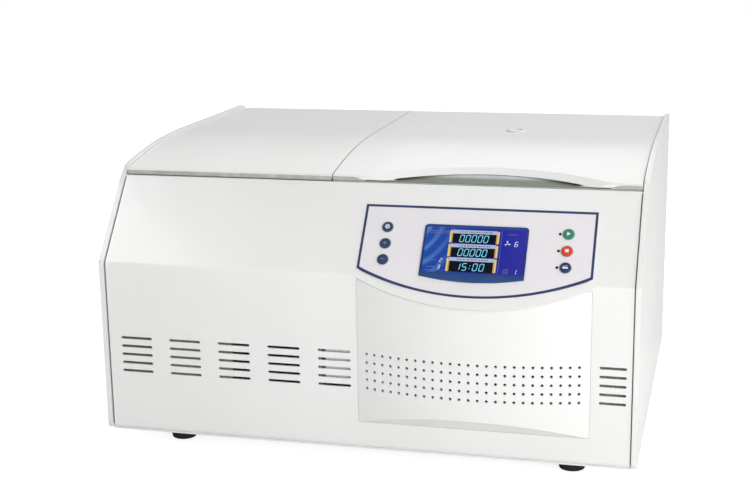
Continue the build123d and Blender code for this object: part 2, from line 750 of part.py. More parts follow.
@piece
def chamber_insulation():
    top = DECK_Z0 - 0.2
    return lathe([(42, 146.2), (158.5, 146.2), (158.5, top), (143.2, top), (143.2, 168),
                  (42, 168)], ROTOR_X, ROTOR_Y)


@piece
def guard_ring():
    """Ring with a floor, on four square posts."""
    guard = lathe([(64, 140), (168, 140), (168, 280), (160, 280), (160, 146), (64, 146)],
                  ROTOR_X, ROTOR_Y)
    for x, y in four_corners(ROTOR_X, ROTOR_Y, 112, 112):
        guard += block(x - 8, x + 8, y - 8, y + 8, FLOOR_Z, 141)
    return guard


@piece
def evaporator_coil():
    radius = 138.7
    start = Plane(origin=(radius, 0, 0), z_dir=(0, 1, 0.016))
    coil = sweep(start * Circle(3.2), path=Helix(pitch=13, height=78, radius=radius))
    return Pos(ROTOR_X, ROTOR_Y, 188) * coil


@piece
def shaft_boot():
    return lathe([(9.6, 150), (41, 150), (41, 154), (30.5, 160), (30.5, 175, 2), (14, 180, 1),
                  (9.6, 180)], ROTOR_X, ROTOR_Y)


# ---------------------------------------------------------------------------
# drive and rotor
# ---------------------------------------------------------------------------
@piece
def drive_motor():
    """Motor with a mounting flange, upright grooves round it and a shaft bore."""
    motor = lathe([(0, 6), (52, 6, 3), (58, 14), (58, 46.0), (76, 46.0), (76, 52), (60, 52),
                   (60, 118, 4), (30, 124), (30, 130), (0, 130)], ROTOR_X, ROTOR_Y)
    for i in range(24):
        groove = block(57.2, 62, -1.6, 1.6, 58, 110)
        motor -= Pos(ROTOR_X, ROTOR_Y, 0) * Rot(0, 0, 15 * i) * groove
    return motor - rod_z(ROTOR_X, ROTOR_Y, 9.05, 40, 140)


@piece
def motor_plate():
    half = 92
    plate = block(ROTOR_X - half, ROTOR_X + half, ROTOR_Y - half, ROTOR_Y + half, 38.0, 45.9)
    return plate - rod_z(ROTOR_X, ROTOR_Y, 58.6, 30, 50)


@piece
def rubber_mounts():
    """Waisted mounts: four under the motor plate, four under the compressor."""
    low = FLOOR_Z + GAP
    motor_mount = [(0, low), (16, low, 1), (12, 16, 6), (16, 37.9, 1), (0, 37.9)]
    comp_mount = [(0, low), (10, low, 1), (7.5, 1, 1), (10, 4.95, 1), (0, 4.95)]
    return ([lathe(motor_mount, x, y) for x, y in four_corners(ROTOR_X, ROTOR_Y, 76, 76)]
            + [lathe(comp_mount, x, y) for x, y in four_corners(COMP_X, COMP_Y, 56, 30)])


@piece
def motor_shaft():
    return lathe([(0, 44), (9.0, 44), (9.0, 200), (7.0, 214), (6.0, 214), (6.0, 256),
                  (0, 256)], ROTOR_X, ROTOR_Y)


@piece
def angle_rotor():
    """Rotor with a ring of eight slanted tube holes."""
    rotor = lathe([(9.1, 184), (46, 184, 2), (62, 196, 4), (104, 236, 5), (108, 243, 3),
                   (108, 250), (96, 250), (60, 236, 6), (22, 236), (22, 248), (6.1, 248),
                   (6.1, 216), (7.1, 216), (9.1, 201.5)], ROTOR_X, ROTOR_Y)
    for i in range(8):
        hole = Pos(76, 0, 236) * Rot(0, -40, 0) * (Pos(0, 0, -10) * Cylinder(9.0, 60))
        rotor -= Pos(ROTOR_X, ROTOR_Y, 0) * Rot(0, 0, 45 * i) * hole
    return rotor


@piece
def rotor_lid():
    return lathe([(6.2, 252), (60, 252), (98, 250.2), (106, 250.2), (106, 252.5, 1),
                  (98, 256, 4), (56, 262, 6), (30, 264, 2), (6.2, 264)], ROTOR_X, ROTOR_Y)


@piece
def rotor_knob():
    knob = lathe([(0, 264.3), (19, 264.3, 1), (21, 268), (21, 277, 2), (17, 280, 1.5),
                  (0, 280)], ROTOR_X, ROTOR_Y)
    for i in range(16):
        flute = rod_z(22.2, 0, 2.2, 260, 290)
        knob -= Pos(ROTOR_X, ROTOR_Y, 0) * Rot(0, 0, 22.5 * i) * flute
    return knob


# ---------------------------------------------------------------------------
# cooling
# ---------------------------------------------------------------------------
COND_X0, COND_X1 = -292, -68      # condenser and fan shroud
COND_Z0, COND_Z1 = 18, 252
SHROUD_Y = 430.1                  # front face of the shroud plate
PIPE_TOP_Y = 394.8                # where two pipes end, in front of the condenser


@piece
def compressor():
    """Domed can with a seam bead, base plate and a box on its front."""
    comp = lathe([(0, 8.9), (57, 8.9, 6), (60, 60, 20), (60, 120, 20), (52, 152, 16),
                  (20, 164, 10), (0, 164)], COMP_X, COMP_Y)
    comp += lathe([(60, 84), (63, 84, 1), (63, 92, 1), (60, 92), (55, 88)], COMP_X, COMP_Y)
    comp += block(COMP_X - 66, COMP_X + 66, COMP_Y - 40, COMP_Y + 40, 5.0, 9.0)
    comp += block(COMP_X - 20, COMP_X + 20, COMP_Y - 74, COMP_Y - 54, 70, 110)
    return comp


@piece
def condenser():
    """Two end plates, two layers of eight tubes and 27 fins."""
    cond = (block(COND_X0, COND_X0 + 2, 395, 430, COND_Z0, COND_Z1)
            + block(COND_X1 - 2, COND_X1, 395, 430, COND_Z0, COND_Z1))
    for i in range(8):
        for y in (404, 421):
            cond += rod_x(y, 32 + i * 29.5, 4.0, COND_X0, COND_X1)
    for i in range(27):
        x = -284 + i * 8.0
        cond += block(x - 0.4, x + 0.4, 396, 429, COND_Z0 + 2, COND_Z1 - 2)
    return cond


@piece
def fan_frame():
    """Shroud plate with a duct ring, three arms and a bored hub."""
    duct_r = 98
    frame = (block(COND_X0, COND_X1, SHROUD_Y, SHROUD_Y + 2, COND_Z0, COND_Z1)
             - rod_y(FAN_X, FAN_Z, duct_r, 420, 440))
    frame += (rod_y(FAN_X, FAN_Z, duct_r + 2, SHROUD_Y, 474)
              - rod_y(FAN_X, FAN_Z, duct_r, 420, 480))
    for angle in (90, 210, 330):
        frame += Pos(FAN_X, 0, FAN_Z) * Rot(0, -angle, 0) * block(22, 99, 436, 441, -3, 3)
    frame += rod_y(FAN_X, FAN_Z, 24, 434, 454)
    return frame - rod_y(FAN_X, FAN_Z, 3.05, 440, 460)


@piece
def fan_blades():
    """Hub, spindle and five pitched blades trimmed to the fan's circle."""
    fan = rod_y(FAN_X, FAN_Z, 26, 456, 478) + rod_y(FAN_X, FAN_Z, 3.0, 442, 457)
    for i in range(5):
        blade = Pos(57, 0, 0) * Rot(32, 0, 0) * Box(70, 1.8, 34)
        blade = Pos(FAN_X, 467, FAN_Z) * Rot(0, 72 * i, 0) * blade
        fan += blade & rod_y(FAN_X, FAN_Z, 92, 456, 478)
    return fan


@piece
def refrigerant_lines():
    """Compressor to condenser, condenser through the drier to the wall, and return."""
    x = COMP_X + 18
    hot = tube([(x, COMP_Y, 165.0), (x, COMP_Y, 208), (x, PIPE_TOP_Y, 208)], 3.2)
    x, z = -86, 60
    drier = lathe([(0, -45), (3.3, -45), (3.3, -41), (11, -34, 4), (11, 34, 4), (3.3, 41),
                   (3.3, 45), (0, 45)], 0, 0).moved(Location((x, 262, z), (90, 0, 0)))
    liquid = (drier + tube([(x, PIPE_TOP_Y, z), (x, 306.0, z)], 3.0)
              + tube([(x, 218, z), (x, 200, z), (x, 200, 230), (-12, 200, 230)], 3.0, 10.0))
    x, z = COMP_X - 20, 245
    suction = tube([(x, COMP_Y, 165.0), (x, COMP_Y, z), (x, 230, z), (-29.5, 230, z)], 4.0)
    return [hot, liquid, suction]


# ---------------------------------------------------------------------------
# electrics
# ---------------------------------------------------------------------------
@piece
def drive_board():
    """L-shaped bracket, board on four spacers, components facing the front."""
    board = (block(-296, -194, 66, 68, 8, 196)
             + block(-296, -194, 66, 92, FLOOR_Z + GAP, 8.5))
    board += block(-292, -198, 61, 63, 16, 190)
    for x, z in ((-288, 22), (-202, 22), (-288, 184), (-202, 184)):
        board += rod_y(x, z, 3, 62, 67)
    root = 62                     # components start inside the board's thickness
    # round components: x, z, radius, height
    for x, z, radius, height in [(-280, 60, 10, 32), (-255, 60, 10, 32), (-230, 60, 10, 32),
                                 (-206, 64, 7, 20), (-206, 90, 7, 20)]:
        board += rod_y(x, z, radius, root - height, root)
    # square components: x0, x1, z0, z1, height
    for x0, x1, z0, z1, height in [(-290, -236, 84, 118, 26), (-230, -216, 84, 122, 14),
                                   (-286, -240, 132, 176, 18), (-232, -204, 130, 150, 10)]:
        board += block(x0, x1, root - height, root, z0, z1)
    # grooves that leave fins on the first square component
    for i in range(9):
        x = -288.5 + i * 6
        board -= block(x, x + 3, 30, 54, 83, 119)
    return board


@piece
def wiring_harness():
    return tube([(30, 61.5, 222), (-245, 61.5, 222), (-245, 61.5, 191)], 4.0, 12.0)


def mains_block(x, y0, y1, half_w, half_h):
    """Block centred at x on the height of the mains fittings."""
    return block(x - half_w, x + half_w, y0, y1, MAINS_Z - half_h, MAINS_Z + half_h)


@piece
def power_inlet():
    """Flanged socket with three flat pins and two screw holes."""
    x, z = INLET_X, MAINS_Z
    inlet = mains_block(x, DEPTH + GAP, DEPTH + 2.0, 25, 12)
    inlet += mains_block(x, 474, DEPTH + 1, 13.8, 10.3)
    socket = [(x - 12, z - 8, 1), (x + 12, z - 8, 1), (x + 12, z + 3), (x + 7, z + 8),
              (x - 7, z + 8), (x - 12, z + 3)]
    inlet -= prism(outline(socket), front_plane(DEPTH + 5), 22)
    for dx, dz in ((-7, -2), (0, 2), (7, -2)):
        inlet += block(x + dx - 1, x + dx + 1, 482, 498, z + dz - 2, z + dz + 2)
    for screw_x in INLET_SCREWS:
        inlet -= rod_y(screw_x, z, INLET_SCREW_R, 490, 510)
    return inlet


@piece
def power_switch():
    switch = mains_block(SWITCH_X, DEPTH + GAP, DEPTH + 1.6, 12.5, 16)
    switch += mains_block(SWITCH_X, 478, DEPTH + 1, 10.3, 13.8)
    switch -= mains_block(SWITCH_X, 484, DEPTH + 5, 8, 11.6)
    return switch - rod_x(ROCKER_Y, MAINS_Z, 1.3, SWITCH_X - 9.2, SWITCH_X + 9.2)


@piece
def power_rocker():
    """Rocker about its pivot pin; the section's first coordinate is height."""
    half = 7.7
    section = [(-10.6, 1.2, 0.5), (-2.2, -8.5, 2), (2.2, -8.5, 2), (10.6, -1.2, 0.5),
               (10.6, 1.6, 0.5), (0, 0.4, 12), (-10.6, 4.2, 0.6)]
    plane = Plane(origin=(half, 0, 0), x_dir=(0, 0, 1), z_dir=(-1, 0, 0))
    rocker = Pos(SWITCH_X, ROCKER_Y, MAINS_Z) * prism(outline(section), plane, 2 * half)
    return rocker + rod_x(ROCKER_Y, MAINS_Z, 1.2, SWITCH_X - 9.0, SWITCH_X + 9.0)


# ---------------------------------------------------------------------------
# export
# ---------------------------------------------------------------------------
def write(name, built):
    """Move a piece's solids to the export origin and write its STEP file."""
    shapes = built if isinstance(built, list) else [built]
    moved = [solid.moved(Location(SHIFT)) for shape in shapes for solid in shape.solids()]
    result = moved[0] if len(moved) == 1 else Compound(children=moved)
    result.label = name
    export_step(result, f"parts/{name}.step")


for name, build in PIECES.items():
    write(name, build())
for name, (x, up) in BUTTONS.items():
    write(name, button(x, up))
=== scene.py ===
"""Looks for a refrigerated bench centrifuge: materials for its CAD pieces, the printed and lit
parts of its sloping console, grey strips and dark beads with painted shade along its edges, mats,
and a white studio to show it in.

The scene is in metres: the front faces -Y, right is +X, up is +Z and the floor is z = 0.
Sizes of added parts are in millimetres, and on_casing and on_console turn them into metres.
Sizes inside materials are in metres.
"""
import bpy
import bmesh
import math
import random
from mathutils import Vector, Matrix

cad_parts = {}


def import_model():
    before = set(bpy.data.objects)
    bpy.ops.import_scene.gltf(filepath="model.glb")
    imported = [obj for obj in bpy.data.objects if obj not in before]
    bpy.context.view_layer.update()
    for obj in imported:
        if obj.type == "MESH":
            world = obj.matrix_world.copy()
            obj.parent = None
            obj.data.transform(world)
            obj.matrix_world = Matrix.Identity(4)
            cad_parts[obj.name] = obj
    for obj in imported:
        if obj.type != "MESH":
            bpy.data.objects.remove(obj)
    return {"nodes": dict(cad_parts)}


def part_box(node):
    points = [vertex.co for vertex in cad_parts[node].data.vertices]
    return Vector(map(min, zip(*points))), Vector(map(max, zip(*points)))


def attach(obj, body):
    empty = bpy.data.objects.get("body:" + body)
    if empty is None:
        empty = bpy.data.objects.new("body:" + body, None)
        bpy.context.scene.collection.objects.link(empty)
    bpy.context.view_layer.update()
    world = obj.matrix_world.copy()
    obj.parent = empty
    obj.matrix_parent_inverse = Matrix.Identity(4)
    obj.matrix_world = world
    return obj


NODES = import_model()["nodes"]
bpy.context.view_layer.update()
random.seed(7)
scene = bpy.context.scene

# ---------------------------------------------------------------------------
# places on the casing and on the console
# ---------------------------------------------------------------------------
FRONT = 240.35               # the lower front stands this far in front of the scene's origin
PANEL_EDGE = 27.0            # height of the casing's lower edge over the floor
BEND_Z = 198.3               # height over that edge where the front bends back into the console
SLOPE = math.radians(50.8)   # the console's slope from level


def on_casing(x, y, z):
    """Millimetres from the front face (y) and the panel edge (z) to scene metres."""
    return Vector((x / 1000, (y - FRONT) / 1000, (z + PANEL_EDGE) / 1000))


CONSOLE_FOOT = on_casing(0, 0, BEND_Z)
ACROSS = Vector((1, 0, 0))
UPHILL = Vector((0, math.cos(SLOPE), math.sin(SLOPE)))
OUTWARD = Vector((0, -math.sin(SLOPE), math.cos(SLOPE)))


def on_console(x, s, n):
    """Millimetres across (x), up the slope (s) and out of it (n) to scene metres."""
    return CONSOLE_FOOT + ACROSS * (x / 1000) + UPHILL * (s / 1000) + OUTWARD * (n / 1000)


# ---------------------------------------------------------------------------
# shader helpers
# ---------------------------------------------------------------------------


def lin(*rgb):
    """sRGB 0-255 to linear, with alpha."""
    scaled = [v / 255.0 for v in rgb]
    return (*(v / 12.92 if v <= 0.04045 else ((v + 0.055) / 1.055) ** 2.4 for v in scaled), 1.0)


def tint(color, gain, lift=0.0, cap=1.0):
    """A linear colour scaled and raised, each channel held at or under the cap."""
    return tuple(min(cap, c * gain + lift) for c in color[:3]) + (1,)


class Graph:
    """A node tree, emptied, where any value may be a constant or another node's socket."""

    def __init__(self, tree):
        self.tree = tree
        tree.nodes.clear()

    def node(self, kind, **settings):
        node = self.tree.nodes.new(kind)
        for key, value in settings.items():
            setattr(node, key, value)
        return node

    def plug(self, socket, value):
        if isinstance(value, bpy.types.NodeSocket):
            self.tree.links.new(value, socket)
        else:
            socket.default_value = value

    def remap(self, value, span, to=(0.0, 1.0), **settings):
        """The span of values stretched onto another."""
        node = self.node("ShaderNodeMapRange", **settings)
        for i, number in enumerate((value, *span, *to)):
            self.plug(node.inputs[i], number)
        return node.outputs[0]

    def math(self, operation, a, b):
        node = self.node("ShaderNodeMath", operation=operation)
        self.plug(node.inputs[0], a)
        self.plug(node.inputs[1], b)
        return node.outputs[0]

    def times(self, a, b):
        return self.math("MULTIPLY", a, b)

    def plus(self, a, b):
        return self.math("ADD", a, b)

    def dot(self, a, b):
        node = self.node("ShaderNodeVectorMath", operation="DOT_PRODUCT")
        self.plug(node.inputs[0], a)
        self.plug(node.inputs[1], b)
        return node.outputs["Value"]


class Mat(Graph):
    """A material with a principled shader and helpers for procedural detail."""

    def __init__(self, name):
        self.material = bpy.data.materials.new(name)
        self.material.use_nodes = True
        super().__init__(self.material.node_tree)
        self.output = self.node("ShaderNodeOutputMaterial")
        self.shader = self.node("ShaderNodeBsdfPrincipled")
        self.plug(self.output.inputs[0], self.shader.outputs[0])
        self.coord = self.node("ShaderNodeTexCoord").outputs["Object"]

    def shade(self, **inputs):
        """Sets or links the shader's inputs, with underscores for spaces in their names."""
        for key, value in inputs.items():
            self.plug(self.shader.inputs[key.replace("_", " ")], value)

    def texture(self, kind, scale, **settings):
        node = self.node(kind, **settings)
        node.inputs["Scale"].default_value = scale
        self.plug(node.inputs["Vector"], self.coord)
        return node

    def noise(self, scale, detail=4, rough=0.5, stretch=None):
        node = self.texture("ShaderNodeTexNoise", scale)
        node.inputs["Detail"].default_value = detail
        node.inputs["Roughness"].default_value = rough
        if stretch:
            self.plug(node.inputs["Vector"], self.mapped("Scale", stretch))
        return node.outputs["Fac"]

    def mapped(self, key, value):
        """Object coordinates through a mapping node with one of its inputs set."""
        node = self.node("ShaderNodeMapping")
        node.inputs[key].default_value = value
        self.plug(node.inputs["Vector"], self.coord)
        return node.outputs[0]

    def split(self, vector):
        node = self.node("ShaderNodeSeparateXYZ")
        self.plug(node.inputs[0], vector)
        return node.outputs

    def normal(self):
        return self.node("ShaderNodeNewGeometry").outputs["Normal"]

    def ramp(self, fac, stops):
        node = self.node("ShaderNodeValToRGB")
        elements = node.color_ramp.elements
        elements[0].position, elements[0].color = stops[0]
        elements[1].position, elements[1].color = stops[-1]
        for position, color in stops[1:-1]:
            elements.new(position).color = color
        self.plug(node.inputs[0], fac)
        return node.outputs[0]

    def mix(self, fac, a, b):
        node = self.node("ShaderNodeMix", data_type="RGBA")
        for i, value in ((0, fac), (6, a), (7, b)):
            self.plug(node.inputs[i], value)
        return node.outputs[2]

    def bevel(self, radius):
        """The normal, rounded over sharp edges."""
        node = self.node("ShaderNodeBevel")
        node.samples = 4
        node.inputs["Radius"].default_value = radius
        return node.outputs[0]

    def bump(self, height, distance, strength, edge=0.0):
        node = self.node("ShaderNodeBump")
        node.inputs["Distance"].default_value = distance
        node.inputs["Strength"].default_value = strength
        self.plug(node.inputs["Height"], height)
        if edge > 0:
            self.plug(node.inputs["Normal"], self.bevel(edge))
        self.shade(Normal=node.outputs[0])

    def wear(self, color, radius, amount, worn):
        """Mixes in the worn colour where the rounded normal leaves the true one."""
        edges = self.remap(self.dot(self.bevel(radius), self.normal()), span=(1.0, 0.9))
        return self.mix(self.times(edges, amount), color, worn)


# ---------------------------------------------------------------------------
# kinds of material
# ---------------------------------------------------------------------------


def paint(name, rgb, rough, peel=0.00002, dirt=0.03, warm=(0.985, 0.985, 0.975)):
    """Stove-enamelled sheet: orange peel, faint tone drift and mottle, softened edges."""
    edge = 0.0008
    m = Mat(name)
    base = lin(*rgb)
    dark = tuple(c * (1 - dirt) * w for c, w in zip(base[:3], warm)) + (1,)
    drift = m.noise(scale=6.0, detail=3)
    color = m.mix(m.remap(drift, span=(0.35, 0.7)), base, dark)
    mottle = m.noise(scale=260.0, detail=2)
    color = m.mix(m.remap(mottle, span=(0.35, 0.65), to=(0.0, 0.25)), color, tint(base, 0.985))
    color = m.wear(color, radius=edge * 1.4, amount=0.10, worn=tint(base, gain=0.8))
    fine = m.noise(scale=900.0, detail=3, rough=0.55)
    smear = m.noise(scale=14.0, detail=5, rough=0.6, stretch=(1.0, 1.0, 2.2))
    gloss = m.remap(m.plus(m.times(fine, 0.25), smear), span=(0.3, 0.9),
                    to=(rough * 0.94, rough * 1.06))
    m.shade(Base_Color=color, Roughness=gloss, Coat_Weight=0.35, Coat_Roughness=0.12)
    m.bump(fine, distance=peel, strength=0.6, edge=edge)
    return m.material


def plastic(name, rgb, rough=0.45, grain=1400.0, depth=0.00003, edge=0.0004, vary=0.12, coat=0.0):
    """Moulded plastic: fine spark-erosion grain, slight tone drift and rubbed edges."""
    m = Mat(name)
    base = lin(*rgb)
    drift = m.noise(scale=22.0, rough=0.6)
    color = m.mix(m.remap(drift, span=(0.35, 0.7)), base, tint(base, 1 + vary, lift=0.004))
    if edge:
        rubbed = tint(base, gain=1.35, lift=0.012)
        color = m.wear(color, radius=edge * 1.5, amount=0.25, worn=rubbed)
    fine = m.noise(scale=grain, detail=3, rough=0.6)
    gloss = m.remap(m.plus(m.times(fine, 0.4), m.noise(scale=30.0)), span=(0.4, 1.0),
                    to=(rough * 0.8, rough * 1.2))
    m.shade(Base_Color=color, Roughness=gloss, Coat_Weight=coat, Coat_Roughness=0.08)
    m.bump(fine, distance=depth, strength=0.7, edge=edge)
    return m.material


def button(name, rgb):
    return plastic(name, rgb, rough=0.4, grain=1800.0, depth=0.00001, edge=0.0003)


def printed(name, rgb, rough=0.4, grain=1200.0, vary=0.03):
    """Ink: almost no relief and no edge wear."""
    return plastic(name, rgb, rough, grain, depth=0.000005, edge=0.0, vary=vary)


def rubber(name, rgb, rough=0.72):
    """Dull rubber with dust on the faces that look up."""
    m = Mat(name)
    base = lin(*rgb)
    dust = tint(base, gain=2.6, lift=0.012, cap=math.inf)
    patches = m.noise(scale=60.0, detail=5, rough=0.65)
    facing_up = m.remap(m.split(m.normal())["Z"], span=(-0.2, 1.0), to=(0.35, 1.0))
    dusty = m.times(m.remap(patches, span=(0.4, 0.75), to=(0.0, 0.6)), facing_up)
    gloss = m.remap(patches, span=(0.3, 0.8), to=(rough * 0.85, rough * 1.15))
    m.shade(Base_Color=m.mix(dusty, base, dust), Roughness=gloss)
    m.bump(m.noise(scale=1100.0, detail=3, rough=0.6), distance=0.00005, strength=0.8,
           edge=0.0005)
    return m.material


def metal(name, rgb, rough, brush=(1, 1, 1), edge=0.0004, metallic=1.0):
    """Bare metal: brushing (the noise's stretch on each axis), faint stains, brighter edges."""
    m = Mat(name)
    base = lin(*rgb)
    stains = m.noise(scale=16.0, detail=5, rough=0.62)
    color = m.mix(m.remap(stains, span=(0.4, 0.75), to=(0.0, 0.8)), base, tint(base, gain=0.78))
    color = m.wear(color, radius=edge * 1.5, amount=0.4, worn=tint(base, gain=1.15))
    fine = m.noise(scale=400.0, rough=0.6, stretch=brush)
    gloss = m.remap(m.plus(m.times(fine, 0.5), m.noise(scale=25.0)), span=(0.4, 1.1),
                    to=(rough * 0.75, rough * 1.3))
    m.shade(Base_Color=color, Metallic=metallic, Roughness=gloss)
    m.bump(fine, distance=0.00001, strength=0.5, edge=edge)
    return m.material


def board(name):
    """Solder-masked circuit board: a brick pattern with paler joints for tracks."""
    m = Mat(name)
    tracks = m.texture("ShaderNodeTexBrick", scale=170.0)
    tracks.inputs["Mortar Size"].default_value = 0.018
    tracks.inputs["Color1"].default_value = lin(52, 86, 62)
    tracks.inputs["Color2"].default_value = lin(64, 98, 70)
    tracks.inputs["Mortar"].default_value = lin(118, 142, 106)
    patches = m.remap(m.noise(scale=40.0, detail=5, rough=0.6), span=(0.45, 0.6), to=(0.0, 0.7))
    gloss = m.remap(m.noise(scale=120.0, detail=3), span=(0.3, 0.8), to=(0.35, 0.65))
    m.shade(Base_Color=m.mix(patches, tracks.outputs["Color"], lin(106, 112, 98)),
            Roughness=gloss)
    m.bump(tracks.outputs["Fac"], distance=0.0002, strength=0.5)
    return m.material


def foam(name, rgb):
    m = Mat(name)
    cells = m.texture("ShaderNodeTexVoronoi", scale=420.0).outputs["Distance"]
    pit = lin(*(c * 0.8 for c in rgb))
    m.shade(Base_Color=m.mix(m.remap(cells, span=(0.0, 0.7)), pit, lin(*rgb)), Roughness=0.85)
    m.bump(cells, distance=0.0006, strength=0.8)
    return m.material


def glow(name, rgb, strength, base=(6, 12, 30)):
    """Lit display element behind a clear front: emission with a faint fine checker."""
    rough = 0.25
    m = Mat(name)
    checker = m.texture("ShaderNodeTexChecker", scale=2400.0)
    color = lin(*rgb)
    checker.inputs["Color1"].default_value = color
    checker.inputs["Color2"].default_value = tint(color, gain=0.86)
    m.shade(Base_Color=lin(*base), Emission_Color=checker.outputs[0], Roughness=rough,
            Emission_Strength=strength, Coat_Weight=0.6, Coat_Roughness=0.05)
    m.shade(Roughness=m.remap(m.noise(scale=300.0, detail=2), span=(0.3, 0.7),
                              to=(rough * 0.8, rough * 1.2)))
    return m.material


# ---------------------------------------------------------------------------
# materials of the CAD pieces
# ---------------------------------------------------------------------------
WHITE = (243, 243, 242)
inner_paint = paint("inner_paint", (205, 207, 203), rough=0.5, dirt=0.08)

# material, names of the pieces that wear it
FINISHES = (
    (paint("casing_paint", WHITE, rough=0.30), "front_panel fixed_top_cover lid_shell base_pan"),
    (paint("bay_paint", WHITE, rough=0.26, peel=0.000015), "front_grille"),
    (paint("side_paint", (240, 241, 239), rough=0.36), "right_side_panel left_side_panel"),
    (paint("rear_paint", (222, 222, 218), rough=0.45, dirt=0.06), "rear_panel"),
    (inner_paint, "lid_inner_plate deck_plate partition_wall rear_beam"),
    (plastic("fascia_film", (232, 229, 232), rough=0.42, grain=2200.0, depth=0.00001,
             edge=0.0003, vary=0.02), "control_fascia"),
    (button("button_navy", (40, 54, 92)), "settings_button plus_button minus_button lid_button"),
    (button("button_green", (44, 128, 98)), "start_button"),
    (button("button_red", (214, 66, 38)), "stop_button"),
    (plastic("lamp_dark", (14, 14, 15), rough=0.18, grain=900.0, depth=0.00001, edge=0.0002,
             coat=0.5), "status_leds"),
    (plastic("black_plastic", (26, 27, 28), rough=0.5),
     "fan_frame fan_blades power_inlet power_switch power_rocker"),
    (plastic("pocket_grey", (112, 122, 104), rough=0.6, grain=900.0, depth=0.00005),
     "handle_pocket"),
    (plastic("port_plastic", (226, 226, 223), rough=0.3, grain=1500.0, depth=0.00001,
             vary=0.03, coat=0.3), "sight_port"),
    (rubber("rubber_black", (24, 24, 25)), "rubber_feet lid_gasket shaft_boot rubber_mounts"),
    (rubber("seal_rubber", (150, 153, 147), rough=0.7), "front_seal"),
    (metal("zinc_steel", (178, 182, 184), rough=0.38, brush=(1, 3, 1)),
     "hinge_arms hinge_brackets lock_strikers lock_housings motor_plate guard_ring panel_screws"),
    (metal("bright_steel", (214, 215, 218), rough=0.14),
     "hinge_pins gas_spring_rods lock_bolts motor_shaft"),
    (metal("stainless", (196, 197, 198), rough=0.26, brush=(1, 1, 14)), "chamber_bowl"),
    (metal("anodised_alu", (182, 184, 188), rough=0.34, brush=(1, 1, 8)),
     "angle_rotor rotor_lid condenser"),
    (plastic("knob_black", (30, 31, 33)), "rotor_knob"),
    (paint("black_paint", (22, 22, 23), rough=0.35, warm=(1, 1, 1)),
     "gas_spring_tubes compressor lock_solenoids drive_motor"),
    (metal("copper_tube", (198, 128, 88), rough=0.3), "evaporator_coil refrigerant_lines"),
    (foam("foam", (206, 196, 158)), "chamber_insulation"),
    (board("circuit_green"), "control_board drive_board"),
    (rubber("cable_black", (20, 20, 21), rough=0.5), "wiring_harness"),
)


def assign(names, material):
    for name in names.split():
        slots = NODES[name].data.materials
        slots.clear()
        slots.append(material)


for finish, pieces in FINISHES:
    assign(pieces, finish)

# ---------------------------------------------------------------------------
# mesh builders
# ---------------------------------------------------------------------------


def mesh_obj(name, verts, faces, material, body="casing"):
    mesh = bpy.data.meshes.new(name)
    mesh.from_pydata([tuple(v) for v in verts], [], faces)
    mesh.validate()
    mesh.update()
    obj = bpy.data.objects.new(name, mesh)
    scene.collection.objects.link(obj)
    mesh.materials.append(material)
    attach(obj, body)
    return obj


# segments of the characters shown: a is the top, b to f follow clockwise, g is the middle
SEGMENTS = {"0": "abcdef", "1": "bc", "2": "abged", "3": "abgcd", "5": "afgcd", "6": "afgedc"}
SLANT = 0.16     # lean of the characters, x per s


